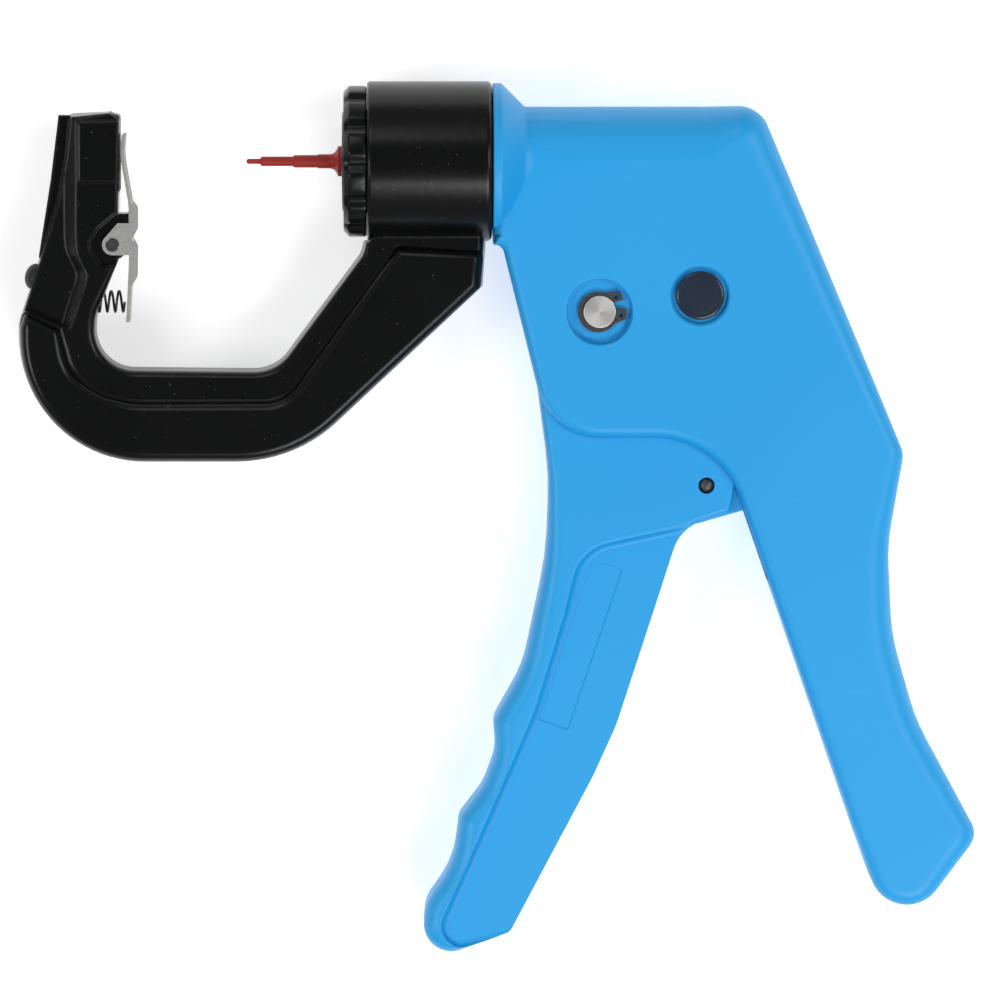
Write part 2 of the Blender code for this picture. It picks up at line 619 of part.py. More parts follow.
def build_body(material, carrier):
    body = add("body_shell", slab(body_outline(), BODY_HALF, levels=3), material, carrier)
    drop = FLANGE_R - BODY_HALF
    cone = [(NECK_X + NECK_LENGTH * along, FLANGE_R - drop * down) for along, down in NECK_CURVE]
    neck = [
        (FLANGE_X, NOSE_R - FUSE), (FLANGE_X, FLANGE_R - NECK_CHAMFER), (FLANGE_X + NECK_CHAMFER, FLANGE_R),
        (NECK_X, FLANGE_R), *cone, (NECK_END_X + FUSE, NOSE_R - FUSE),
    ]
    shape(body, turned(neck, "X", steps=COLLAR_SIDES), "UNION", carrier, "neck")
    nose = rod(NOSE_R, NOSE_FRONT_X, FLANGE_X + 2 * FUSE, "X", steps=COLLAR_SIDES)
    shape(body, nose, "UNION", carrier, "nose")
    shape(body, slab(cavity_outline(), CAVITY_HALF), "DIFFERENCE", carrier, "cavity")
    bore = rod(NOSE_BORE_R, NOSE_FRONT_X - PAST, CAVITY_FRONT_X + PAST, "X")
    shape(body, bore, "DIFFERENCE", carrier, "bore")
    for label, low, high in both_sides(CHEEK_INNER, BODY_HALF - POCKET_DEPTH / 2):
        shape(body, rod(BOSS_R, low, high, centre=LEVER_AXIS), "UNION", carrier, f"boss_{label}")
    for label, low, high in both_sides(POCKET_FLOOR, BODY_HALF + PAST):
        pocket = rod(POCKET_R, low, high, centre=LEVER_AXIS)
        shape(body, pocket, "DIFFERENCE", carrier, f"pocket_{label}")
    for label, low, high in both_sides(BODY_HALF - CAP_HOLE_DEPTH, BODY_HALF + PAST):
        seat = rod(CAP_HOLE_R, low, high, centre=TRIGGER_AXIS)
        shape(body, seat, "DIFFERENCE", carrier, f"cap_{label}")
    for centre, radius, label in ((LEVER_AXIS, LEVER_PIN_R, "lever"), (TRIGGER_AXIS, TRIGGER_PIN_R, "trigger")):
        shape(body, through(radius + RUN_GAP, BODY_HALF, centre), "DIFFERENCE", carrier, f"{label}_hole")
    return body


def through(radius, half, centre, steps=TURN):
    """A cutter for a hole right through a piece of this half-thickness."""
    return rod(radius, -half - PAST, half + PAST, centre=centre, steps=steps)


def build_jaw(material, carrier):
    jaw = add("jaw_frame", slab(jaw_outline(), JAW_BAND_HALF), material, carrier)
    shape(jaw, slab(plateau_outline(), JAW_PLATEAU_HALF), "UNION", carrier, "plateau")
    block_foot = ANVIL_BLOCK_TOP - ANVIL_BLOCK_LENGTH
    block_back = ANVIL_FACE_X - ANVIL_BLOCK_BACK
    block = [
        (block_back, ANVIL_BLOCK_TOP, 1.2, 1.2), (block_back, block_foot, 1, 1.2),
        (ANVIL_FACE_X - FUSE, block_foot, 0, 1.2), (ANVIL_FACE_X - FUSE / 2, ANVIL_BLOCK_TOP, 0, 1.2),
    ]
    shape(jaw, slab(block, ANVIL_BLOCK_HALF), "UNION", carrier, "anvil_block")
    floor, brow = arm_side(ARM_FLOOR_EDGE), arm_side(ARM_BROW_EDGE)
    reach = JAW_BAND_HALF + RUN_GAP
    shape(jaw, prism(floor, JAW_ARM_HALF, reach, brow), "DIFFERENCE", carrier, "arm_side_near")
    shape(jaw, prism(floor, -JAW_ARM_HALF, -reach, brow), "DIFFERENCE", carrier, "arm_side_far")
    shape(jaw, prism(SPINE, -SPINE_HALF, SPINE_HALF), "UNION", carrier, "spine")
    bore = NOSE_R + REST_GAP
    collar = [
        (0, bore), (0, COLLAR_R - COLLAR_ROUND), (-COLLAR_ROUND, COLLAR_R),
        (COLLAR_FRONT_X + COLLAR_ROUND, COLLAR_R), (COLLAR_FRONT_X, COLLAR_R - COLLAR_ROUND),
        (COLLAR_FRONT_X, bore),
    ]
    shape(jaw, turned(collar, "X", steps=COLLAR_SIDES, ring=True), "UNION", carrier, "collar")
    for label, low, high in both_sides(CLIP_BOSS_HALF, JAW_BAND_HALF + PAST):
        shape(jaw, prism(filleted(CLIP_POCKET), low, high), "DIFFERENCE", carrier, f"clip_pocket_{label}")
    boss_top = CLIP_AXIS.y + CLIP_BOSS_R * 2
    boss = [(CLIP_AXIS.x - CLIP_PIN_R, boss_top), (CLIP_AXIS.x + CLIP_BOSS_R, boss_top)]
    boss += circle(CLIP_BOSS_R, CLIP_AXIS, 9, 0, -math.pi)
    boss_half = CLIP_BOSS_HALF - RUN_GAP / 4
    shape(jaw, prism(boss, -boss_half, boss_half), "UNION", carrier, "clip_boss")
    hole = through(CLIP_PIN_R + RUN_GAP, JAW_BAND_HALF, CLIP_AXIS, steps=16)
    shape(jaw, hole, "DIFFERENCE", carrier, "clip_hole")
    socket = rod(CLIP_SPRING_R + REST_GAP, CLIP_SOCKET_X, ANVIL_FACE_X, "X", centre=(CLIP_SPRING_Y, 0))
    shape(jaw, socket, "DIFFERENCE", carrier, "spring_socket")
    gap = REST_GAP
    back = ANVIL_FACE_X - INSERT_THICK - gap
    foot = INSERT_FOOT - gap
    over = ANVIL_BLOCK_TOP + ANVIL_BLOCK_BACK
    slot = [(back, foot), (ANVIL_FACE_X + PAST, foot), (ANVIL_FACE_X + PAST, over), (back, over)]
    shape(jaw, prism(slot, -INSERT_HALF - gap, INSERT_HALF + gap), "DIFFERENCE", carrier, "insert_slot")
    relief = rod(ANVIL_HOLE_R + gap, back - PIN_RELIEF, back + FUSE, "X")
    shape(jaw, relief, "DIFFERENCE", carrier, "pin_relief")
    head_r, shank_r = KNOB_R + gap, KNOB_SHANK_R + gap
    knob = [(KNOB_SHANK, 0), (KNOB_SHANK, head_r), (-KNOB_SINK, head_r), (-KNOB_SINK, shank_r),
            (-KNOB_SHANK, shank_r), (-KNOB_SHANK, 0)]
    shape(jaw, tilted_turn(knob), "DIFFERENCE", carrier, "knob_seat")
    return jaw


def strip(path, thick):
    """The outline of a bent sheet of even thickness along a path."""
    points = [Vector(p) for p in path]
    offsets = []
    for i, here in enumerate(points):
        back = (here - points[max(i - 1, 0)]).normalized() if i else (points[1] - here).normalized()
        ahead = (points[i + 1] - here).normalized() if i < len(points) - 1 else back
        normal = Vector((-back.y, back.x))
        bisector = (normal + Vector((-ahead.y, ahead.x))).normalized()
        offsets.append(bisector * (thick / 2 / bisector.dot(normal)))
    left = [(p + o)[:] for p, o in zip(points, offsets)]
    right = [(p - o)[:] for p, o in zip(points, offsets)]
    return left + right[::-1]


def capsule(one, one_r, two, two_r, sides=10):
    """The outline of a flat bar with a round end about each of two centres."""
    along = (two - one).normalized()
    base = math.atan2(along.y, along.x)
    lean = math.asin((one_r - two_r) / (two - one).length)
    first = circle(one_r, one, sides, base + math.pi / 2 - lean, math.pi + 2 * lean)
    second = circle(two_r, two, sides, base - math.pi / 2 + lean, math.pi - 2 * lean)
    return first + second


def fork_wander():
    """How far the cross pin leaves the middle of the lever's slot, and how near it comes to the pivot.

    The plunger moves evenly with the lever's angle, so the pin swings a little to each side of the slot.
    """
    side = 0.0
    near = far = (STROKE / 2) / math.sin(LEVER_SWING)
    for step in range(41):
        share = step / 40
        offset = Vector((STROKE / 2 - STROKE * share, -LEVER_AXIS.y))
        lean = LEVER_SWING * (1 - 2 * share)
        along = offset.x * math.sin(lean) + offset.y * math.cos(lean)
        across = offset.x * math.cos(lean) - offset.y * math.sin(lean)
        side = max(side, abs(across))
        near = min(near, along)
    return side, near, far


def build_nut(material, carrier):
    """A ring with scalloped finger grips, chamfered in front."""
    half_span = FLUTE_SPAN / 2
    pitch = 2 * math.pi / NUT_FLUTES
    stations = [
        (NUT_BACK_X, NUT_BACK_CHAMFER), (NUT_BACK_X - NUT_BACK_CHAMFER, 0),
        (NUT_FRONT_X + NUT_CHAMFER, 0), (NUT_FRONT_X, NUT_CHAMFER),
    ]
    bore = NOSE_R + REST_GAP
    bm = bmesh.new()
    rows = []
    for x, drop in stations + [(NUT_FRONT_X, None), (NUT_BACK_X, None)]:
        row = []
        for flute in range(NUT_FLUTES):
            for share in FLUTE_STATIONS:
                phi = share * pitch
                depth = 0
                if abs(phi) < half_span:
                    depth = FLUTE_DEPTH * math.cos(phi / half_span * math.pi / 2)
                radius = bore if drop is None else min(NUT_R - depth, NUT_R - drop)
                angle = (flute + share) * pitch
                row.append(bm.verts.new((x, radius * math.cos(angle), radius * math.sin(angle))))
        rows.append(row)
    count = len(rows[0])
    for one, two in zip(rows, rows[1:] + rows[:1]):
        for i in range(count):
            j = (i + 1) % count
            bm.faces.new((one[i], one[j], two[j], two[i]))
    bmesh.ops.recalc_face_normals(bm, faces=bm.faces)
    return add("lock_nut", bm, material, carrier)


def build_bush(material, carrier):
    bore = PLUNGER_R + RUN_GAP
    fit = NOSE_BORE_R - REST_GAP
    lip_back = BUSH_LIP_X + BUSH_LIP
    profile = [
        (BUSH_LIP_X, bore), (BUSH_LIP_X, BUSH_LIP_R - BUSH_LIP_ROUND),
        (BUSH_LIP_X + BUSH_LIP_ROUND, BUSH_LIP_R), (lip_back, BUSH_LIP_R), (lip_back, fit),
        (BUSH_BACK_X, fit), (BUSH_BACK_X, bore),
    ]
    return add("plunger_bush", turned(profile, "X", ring=True), material, carrier)


def build_plunger(steel, carrier):
    """Ground rod with a tapped hole in front, a groove for the seat ring and a hole for the cross pin."""
    ring_x = SEAT_BACK_X + REST_GAP / 2
    groove_end = ring_x + RING_THICK + REST_GAP
    groove_r = PLUNGER_R - PLUNGER_GROOVE
    bore = THREAD_R + RUN_GAP
    hole_end = PIN_SHOULDER_X + THREAD_LENGTH + FUSE
    profile = [
        (hole_end, 0), (hole_end, bore), (PIN_SHOULDER_X, bore), (PIN_SHOULDER_X, PLUNGER_R - FRONT_CHAMFER),
        (PIN_SHOULDER_X + FRONT_CHAMFER, PLUNGER_R), (ring_x, PLUNGER_R), (ring_x, groove_r),
        (groove_end, groove_r), (groove_end, PLUNGER_R), (PLUNGER_END_X - TAIL_CHAMFER, PLUNGER_R),
        (PLUNGER_END_X, PLUNGER_R - TAIL_CHAMFER), (PLUNGER_END_X, 0),
    ]
    plunger = add("plunger_rod", turned(profile, "X"), steel, carrier)
    hole = through(CROSS_PIN_R + RUN_GAP, PLUNGER_R, (CROSS_PIN_X, 0))
    shape(plunger, hole, "DIFFERENCE", carrier, "cross_hole")
    pin = chamfered_pin(CROSS_PIN_R, LEVER_HALF + PIN_OVER_FORK, PIN_CHAMFER, (CROSS_PIN_X, 0))
    add("plunger_cross_pin", pin, steel, carrier)
    seat = tube(PLUNGER_R + RUN_GAP, SEAT_R, SEAT_FRONT_X, SEAT_BACK_X, "X")
    add("spring_seat", seat, steel, carrier)
    outline = circle(PLUNGER_R + RING_REACH, (0, 0), TURN, RING_GAP / 2, 2 * math.pi - RING_GAP)
    outline += circle(groove_r + RUN_GAP, (0, 0), TURN, -RING_GAP / 2, RING_GAP - 2 * math.pi)
    bm = prism(outline, ring_x + RUN_GAP, ring_x + RING_THICK)
    bmesh.ops.rotate(bm, verts=bm.verts, cent=(0, 0, 0), matrix=Matrix.Rotation(math.pi / 2, 3, "Y"))
    add("seat_ring", bm, steel, carrier)


def build_red_pin(material, carrier):
    """Stepped pin that holds the male half of a tag, screwed into the plunger."""
    tail = PIN_SHOULDER_X + THREAD_LENGTH
    x = PIN_SHOULDER_X - REST_GAP
    profile = [
        (tail, 0), (tail, THREAD_R - TAIL_CHAMFER), (tail - TAIL_CHAMFER, THREAD_R), (x, THREAD_R),
        (x, PIN_FLANGE_R), (x - PIN_FLANGE, PIN_FLANGE_R),
    ]
    x -= PIN_FLANGE
    profile += [(x - past, radius) for past, radius in PIN_FLARE]
    x -= PIN_FLARE_LENGTH
    for length, radius, step in PIN_SECTIONS:
        profile += [(x, radius), (x - length, radius)]
        x -= length + step
    profile += [(x - past, radius) for past, radius in PIN_TIP]
    return add("applicator_pin", turned(profile, "X", steps=16), material, carrier)


def build_lever(material, pin_material, carrier):
    side, near, far = fork_wander()
    up = Vector((math.sin(LEVER_SWING), math.cos(LEVER_SWING)))
    right = Vector((up.y, -up.x))
    slot = CROSS_PIN_R + side + RUN_GAP
    foot = near - CROSS_PIN_R - 2 * RUN_GAP
    tip = far + FORK_REACH
    wide = slot + FORK_PRONG
    prong = [
        (foot - FORK_SHOULDER, wide), (tip - FORK_CORNER, wide), (tip, wide - FORK_CORNER),
        (tip, slot), (foot, slot),
    ]
    half = FORK_FOOT + prong
    local = half + [(foot - slot / 2, 0)] + [(a, -b) for a, b in half[::-1]]
    outline = [(LEVER_AXIS + up * a + right * b)[:] for a, b in local]
    hub = rod(LEVER_HUB_R, -LEVER_HALF, LEVER_HALF, centre=LEVER_AXIS)
    lever = add("drive_lever", hub, material, carrier)
    crank = crank_centre()
    ear_inner = LINK_THICK / 2 + REST_GAP
    ear_outer = ear_inner + CRANK_EAR
    ear = capsule(LEVER_AXIS, LEVER_HUB_R - LEVER_HUB_WALL / 5, crank, CRANK_EYE_R)
    for label, low, high in both_sides(FORK_INNER, LEVER_HALF - FLUSH):
        shape(lever, prism(outline, low, high), "UNION", carrier, f"fork_{label}")
    for label, low, high in both_sides(ear_inner, ear_outer):
        shape(lever, prism(ear, low, high), "UNION", carrier, f"ear_{label}")
    shape(lever, through(LEVER_PIN_R + RUN_GAP, LEVER_HALF, LEVER_AXIS), "DIFFERENCE", carrier, "hub_hole")
    shape(lever, through(CRANK_PIN_R + RUN_GAP, LEVER_HALF, crank), "DIFFERENCE", carrier, "crank_hole")
    pin = chamfered_pin(CRANK_PIN_R, ear_outer + 2 * PIN_CHAMFER, PIN_CHAMFER, crank)
    add("lever_link_pin", pin, pin_material, carrier)


def crank_centre():
    angle = CRANK_PHASE - math.pi / 2
    return LEVER_AXIS + Vector((math.cos(angle), math.sin(angle))) * CRANK_RADIUS


def chamfered_pin(radius, reach, chamfer, centre, steps=TURN):
    profile = [(-reach, 0), (-reach, radius - chamfer), (-reach + chamfer, radius), (reach - chamfer, radius),
               (reach, radius - chamfer), (reach, 0)]
    return turned(profile, centre=centre, steps=steps)


def build_link(material, carrier):
    crank = crank_centre()
    half = LINK_THICK / 2
    bar = prism(capsule(LINK_AXIS, LINK_EYE_R, crank, LINK_EYE_R), -half, half)
    link = add("pull_link", bar, material, carrier)
    shape(link, through(LINK_PIN_R + RUN_GAP, half, LINK_AXIS), "DIFFERENCE", carrier, "upper_eye")
    shape(link, through(CRANK_PIN_R + LINK_SLACK, half, crank), "DIFFERENCE", carrier, "lower_eye")


def build_trigger(material, pin_material, carrier):
    trigger = add("trigger", slab(trigger_outline(), TRIGGER_HALF), material, carrier)
    shape(trigger, prism(channel_outline(), -CHEEK_INNER, CHEEK_INNER), "DIFFERENCE", carrier, "channel")
    tongue_half = CHEEK_INNER + RUN_GAP
    shape(trigger, prism(TONGUE, -tongue_half, tongue_half), "UNION", carrier, "tongue")
    for label, low, high in both_sides(TRIGGER_WEB_HALF, TRIGGER_HALF + PAST):
        shape(trigger, prism(grip_recess_outline(), low, high), "DIFFERENCE", carrier, f"recess_{label}")
    for label, low, high in both_sides(LINK_THICK / 2 + REST_GAP, CHEEK_INNER + FUSE):
        boss = rod(LINK_PIN_R + LINK_BOSS_WALL, low, high, centre=LINK_AXIS)
        shape(trigger, boss, "UNION", carrier, f"link_boss_{label}")
    label_recess = prism(filleted(LABEL_CORNERS), TRIGGER_WEB_HALF - LABEL_DEPTH, TRIGGER_HALF)
    shape(trigger, label_recess, "DIFFERENCE", carrier, "label_recess")
    hub_half = CHEEK_INNER + FUSE
    shape(trigger, rod(TRIGGER_HUB_R, -hub_half, hub_half, centre=TRIGGER_AXIS), "UNION", carrier, "hub")
    hub_hole = through(TRIGGER_PIN_R + RUN_GAP, TRIGGER_HALF, TRIGGER_AXIS)
    shape(trigger, hub_hole, "DIFFERENCE", carrier, "hub_hole")
    shape(trigger, through(LINK_PIN_R + REST_GAP, TRIGGER_HALF, LINK_AXIS), "DIFFERENCE", carrier, "pin_hole")
    dome = [(-TRIGGER_HALF + depth, LINK_PIN_R * share) for depth, share in LINK_PIN_DOME]
    profile = dome + [(-place, radius) for place, radius in dome[::-1]]
    add("trigger_link_pin", turned(profile, centre=LINK_AXIS), pin_material, carrier)


def build_circlip(label, low, high, groove, material, carrier):
    """A ring that is widest opposite its gap, with an eyed ear at each end."""
    inner, outer = [], []
    for i in range(TURN + 1):
        turn = CIRCLIP_EAR_TURN + 2 * (math.pi - CIRCLIP_EAR_TURN) * i / TURN
        angle = CIRCLIP_GAP_AT + turn
        width = CIRCLIP_NARROW + CIRCLIP_SWELL * (1 - math.cos(turn)) / 2
        spoke = Vector((math.cos(angle), math.sin(angle)))
        inner.append((LEVER_AXIS + spoke * (groove + RUN_GAP))[:])
        outer.append((LEVER_AXIS + spoke * (groove + RUN_GAP + width))[:])
    clip = add(f"circlip_{label}", prism(outer + inner[::-1], low, high), material, carrier)
    for number, turn in enumerate((CIRCLIP_EAR_TURN, -CIRCLIP_EAR_TURN)):
        angle = CIRCLIP_GAP_AT + turn
        centre = LEVER_AXIS + Vector((math.cos(angle), math.sin(angle))) * CIRCLIP_EAR_PLACE
        ear = rod(CIRCLIP_EAR_R, low + 2 * FLUSH, high - 2 * FLUSH, centre=centre, steps=12)
        shape(clip, ear, "UNION", carrier, f"ear_{number}")
        eye = rod(CIRCLIP_EYE_R, low - FUSE, high + FUSE, centre=centre, steps=10)
        shape(clip, eye, "DIFFERENCE", carrier, f"ear_hole_{number}")


def build_pivots(steel, spring_steel, black, carrier):
    """The lever's pin with its two circlips, and the trigger's pin with its two push-on caps."""
    ring_low = POCKET_FLOOR + REST_GAP
    ring_high = ring_low + CIRCLIP_THICK
    end = BODY_HALF - PIN_END_DEPTH
    groove = LEVER_PIN_R - CIRCLIP_GROOVE
    groove_low = ring_low - CIRCLIP_SIDE_CLEARANCE
    groove_high = ring_high + CIRCLIP_SIDE_CLEARANCE
    half = [
        (groove_low, LEVER_PIN_R), (groove_low, groove), (groove_high, groove), (groove_high, LEVER_PIN_R),
        (end - PIN_CHAMFER, LEVER_PIN_R), (end, LEVER_PIN_R - PIN_CHAMFER), (end, 0),
    ]
    profile = [(-place, radius) for place, radius in half[::-1]] + half
    add("lever_pivot_pin", turned(profile, centre=LEVER_AXIS), steel, carrier)
    for label, low, high in both_sides(ring_low, ring_high):
        build_circlip(label, low, high, groove, spring_steel, carrier)
    cap_low = BODY_HALF - CAP_HOLE_DEPTH + REST_GAP
    pin_end = cap_low + CAP_GRIP
    pin = chamfered_pin(TRIGGER_PIN_R, pin_end, PIN_CHAMFER, TRIGGER_AXIS)
    add("trigger_pivot_pin", pin, steel, carrier)
    bore = TRIGGER_PIN_R + RUN_GAP
    crown = [(cap_low + rise, CAP_R * share) for rise, share in CAP_CROWN]
    cap = [(pin_end + REST_GAP, 0), (pin_end + REST_GAP, bore), (cap_low, bore), (cap_low, CAP_R)] + crown
    for sign, label in ((1, "near"), (-1, "far")):
        profile = [(sign * place, radius) for place, radius in cap]
        add(f"pivot_cap_{label}", turned(profile, centre=TRIGGER_AXIS), black, carrier)


def build_clip(steel, pin_material, spring_material, jaw_carrier, carrier):
    """Bent steel clip that holds the female half of a tag against the anvil."""
    blade = strip(CLIP_PATH, CLIP_THICK)
    clip = add("tag_clip", prism(blade, -CLIP_HALF, CLIP_HALF), steel, carrier)
    front = CLIP_PATH[3][0]
    wide = ANVIL_BLOCK_BACK / 2
    fork = [(front - wide, ANVIL_BLOCK_TOP), (front - wide, CLIP_FORK_FOOT), (front + wide, CLIP_FORK_FOOT),
            (front + wide, ANVIL_BLOCK_TOP)]
    shape(clip, prism(fork, -CLIP_FORK_HALF, CLIP_FORK_HALF), "DIFFERENCE", carrier, "fork")
    top, foot = CLIP_AXIS.y + CLIP_LUG_RISE, CLIP_AXIS.y - CLIP_EYE_R
    lug = [(front, foot), (front, top), (CLIP_AXIS.x + CLIP_EYE_R / 2, top)]
    lug += circle(CLIP_EYE_R, CLIP_AXIS, 9, math.radians(140), math.radians(130))
    lobes = filleted([(front + x, y, radius, edge) for x, y, radius, edge in CLIP_LOBES])
    for label, low, high in both_sides(CLIP_LUG_INNER, CLIP_HALF - FLUSH):
        shape(clip, prism(lug, low, high), "UNION", carrier, f"lug_{label}")
    for label, low, high in both_sides(CLIP_LUG_INNER + 5 * FLUSH, CLIP_HALF - 6 * FLUSH):
        shape(clip, prism(lobes, low, high), "UNION", carrier, f"lobe_{label}")
    hole = through(CLIP_PIN_R + RUN_GAP, CLIP_HALF, CLIP_AXIS, steps=16)
    shape(clip, hole, "DIFFERENCE", carrier, "hole")
    pin = chamfered_pin(CLIP_PIN_R, CLIP_HALF + RUN_GAP, PIN_CHAMFER / 2, CLIP_AXIS, steps=16)
    add("clip_pivot_pin", pin, pin_material, jaw_carrier)
    bend, tab = CLIP_PATH[4], CLIP_PATH[5]
    share = (CLIP_SPRING_Y - bend[1]) / (tab[1] - bend[1])
    tab_back = bend[0] + (tab[0] - bend[0]) * share - CLIP_THICK / 2 - REST_GAP
    spring = coil(CLIP_SPRING_R - CLIP_WIRE_R, CLIP_WIRE_R, CLIP_SOCKET_X + REST_GAP, tab_back, CLIP_COILS,
                  centre=(CLIP_SPRING_Y, 0))
    add("clip_spring", spring, spring_material, jaw_carrier)


def build_jaw_fittings(black, rubber, carrier):
    insert = filleted([
        (ANVIL_FACE_X, INSERT_FOOT, 0, 0), (ANVIL_FACE_X, INSERT_TOP, 0.8, 0),
        (ANVIL_FACE_X - INSERT_THICK, INSERT_TOP + 0.8, 0, 0), (ANVIL_FACE_X - INSERT_THICK, INSERT_FOOT, 0, 0),
    ])
    plate = add("anvil_plate", prism(insert, -INSERT_HALF, INSERT_HALF), black, carrier)
    hole = rod(ANVIL_HOLE_R, ANVIL_FACE_X - INSERT_THICK - 1, ANVIL_FACE_X + 1, "X")
    shape(plate, hole, "DIFFERENCE", carrier, "pin_hole")
    seat, end = REST_GAP - KNOB_SINK, REST_GAP - KNOB_SHANK
    dome = [(KNOB_R * rise, KNOB_R * share) for rise, share in KNOB_DOME]
    dome += [(seat, KNOB_R), (seat, KNOB_SHANK_R), (end, KNOB_SHANK_R), (end, 0)]
    add("arm_knob", tilted_turn(dome), rubber, carrier)


def tilted_turn(profile):
    """A turned solid whose axis leaves the back of the anvil arm squarely."""
    bm = turned([(-place, radius) for place, radius in profile], "X")
    turn = Matrix.Rotation(KNOB_LEAN, 4, "Z")
    bmesh.ops.transform(bm, matrix=Matrix.Translation((KNOB_PLACE.x, KNOB_PLACE.y, 0)) @ turn, verts=bm.verts)
    return bm


def datum_place():
    """Where the drawing frame's origin lies, for a part that rests on z = 0 about its middle."""
    low_x = min(x for x, _ in filleted(jaw_outline()))
    high_x = max(x for x, _ in filleted(body_outline()))
    low_y = min(y for _, y in filleted(trigger_outline()))
    flat_r = COLLAR_R * math.cos(math.pi / COLLAR_SIDES)
    return (-(low_x + high_x) / 2 * MM, -(low_y + flat_r) / 2 * MM, flat_r * MM)


def main():
    clear_scene()
    blue = finish("blue moulding", (0.035, 0.36, 0.80), 0.42)
    black = finish("black casting", (0.012, 0.012, 0.013), 0.35)
    red = finish("red pin", (0.42, 0.035, 0.02), 0.5)
    steel = finish("bright steel", (0.55, 0.55, 0.53), 0.28, 1.0)
    dark_steel = finish("dark steel", (0.09, 0.09, 0.10), 0.35, 1.0)
    stainless = finish("stainless sheet", (0.50, 0.50, 0.49), 0.38, 1.0)
    plastic = finish("black plastic", (0.015, 0.017, 0.022), 0.25)
    rubber = finish("black rubber", (0.02, 0.02, 0.02), 0.6)

    origin = Vector((0, 0))
    datum = axis_empty("datum", 0, 0, None)
    datum.location = datum_place()
    housing = (datum, origin)
    jaw = (axis_empty("jaw_axis", 0, 0, datum), origin)
    clip = (axis_empty("clip_axis", *CLIP_AXIS, jaw[0]), CLIP_AXIS)
    plunger = (axis_empty("plunger_axis", 0, 0, datum), origin)
    lever = (axis_empty("lever_axis", *LEVER_AXIS, datum), LEVER_AXIS)
    trigger = (axis_empty("trigger_axis", *TRIGGER_AXIS, datum), TRIGGER_AXIS)
    link = (axis_empty("link_axis", *LINK_AXIS, trigger[0], TRIGGER_AXIS), LINK_AXIS)

    build_body(blue, housing)
    build_jaw(black, jaw)
    build_jaw_fittings(dark_steel, rubber, jaw)
    build_nut(black, housing)
    build_bush(plastic, housing)
    build_plunger(steel, plunger)
    build_red_pin(red, plunger)
    spring = coil(SPRING_R, SPRING_WIRE_R, SPRING_FRONT_X, SEAT_FRONT_X - REST_GAP, SPRING_COILS,
                  per_turn=SPRING_FACETS)
    add("return_spring", spring, dark_steel, housing)
    build_lever(dark_steel, steel, lever)
    build_link(dark_steel, link)
    build_trigger(blue, dark_steel, trigger)
    build_pivots(steel, dark_steel, plastic, housing)
    build_clip(stainless, dark_steel, dark_steel, jaw, clip)


main()
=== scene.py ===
"""Looks of the ear tag applicator: fine surfaces, finishes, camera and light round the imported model.

Lengths are in millimetres in the drawing frame: its origin is on the plunger's axis at the joint of body and
jaw, X runs backwards, Y up the picture and Z out of the side that faces up. place() brings a mesh to metres.
"""
import json
import math

import bmesh
import bpy
from mathutils import Matrix, Vector


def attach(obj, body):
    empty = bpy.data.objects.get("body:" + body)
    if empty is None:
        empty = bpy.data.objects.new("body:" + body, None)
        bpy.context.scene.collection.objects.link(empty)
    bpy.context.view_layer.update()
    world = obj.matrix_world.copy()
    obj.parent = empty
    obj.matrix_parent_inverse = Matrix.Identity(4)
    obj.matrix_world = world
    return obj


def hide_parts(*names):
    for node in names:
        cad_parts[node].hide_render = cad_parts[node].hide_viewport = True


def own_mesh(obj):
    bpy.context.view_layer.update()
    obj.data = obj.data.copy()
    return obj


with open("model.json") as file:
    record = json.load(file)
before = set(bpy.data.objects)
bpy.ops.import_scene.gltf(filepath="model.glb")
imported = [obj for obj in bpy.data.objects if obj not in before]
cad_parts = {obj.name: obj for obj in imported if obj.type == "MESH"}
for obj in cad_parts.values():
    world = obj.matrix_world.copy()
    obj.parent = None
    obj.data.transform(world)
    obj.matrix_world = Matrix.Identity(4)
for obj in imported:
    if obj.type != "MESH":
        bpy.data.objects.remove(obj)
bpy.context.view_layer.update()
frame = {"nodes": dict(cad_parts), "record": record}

MM = 0.001

# The mechanism's axes
LEVER_AXIS = Vector((33.1, -45.9))
TRIGGER_AXIS = Vector((64.1, -40.9))
LINK_AXIS = Vector((66.3, -99.9))
CLIP_AXIS = Vector((-117.3, -25.5))
JOINTS = {joint["name"]: joint for joint in frame["record"]["behaviour"]["joints"]}
TRIGGER_PLACE = Vector(JOINTS["trigger_squeeze"]["pos_m"])
DATUM = TRIGGER_PLACE - Vector((TRIGGER_AXIS.x, TRIGGER_AXIS.y, 0)) * MM

# Sizes
REST_GAP = 0.3
BODY_HALF = 16.3
BODY_TOP = 16.9
BODY_WALL = 3.3
FRONT_WALL_END = -67.8
CAVITY_FRONT_X = 3.6
CAVITY_HALF = 13.0
TRIGGER_HALF = 12.7
CHEEK_INNER = 9.9
LEVER_HALF = 9.6
LEVER_BOSS_R = 11.8
LEVER_HOLE_R = 5.2
POCKET_R = 10.0
POCKET_FLOOR = 13.3
CAP_HOLE_R = 8.65
CAP_HOLE_FLOOR = 14.3
TRIGGER_WEB_HALF = 9.6
TRIGGER_HUB_R = 7.0
TRIGGER_HOLE_R = 4.2
LINK_BOSS_R = 4.4
LINK_HOLE_R = 2.5
LABEL_DEPTH = 0.22
COLLAR_R = 24.8
COLLAR_FRONT_X = -38.6
NOSE_R = 16.0
NOSE_BORE_R = 12.5
NUT_BACK_X = -38.7
NUT_FRONT_X = -45.9
NUT_R = 23.5
JAW_BAND_HALF = 9.5
JAW_PLATEAU_HALF = 13.5
JAW_ARM_HALF = 6.6
SPINE_HALF = 2.2
CAST_DRAFT = 0.10
KNOB_PLACE = (-141.3, -35.8, 0)
KNOB_LEAN = math.radians(-13)
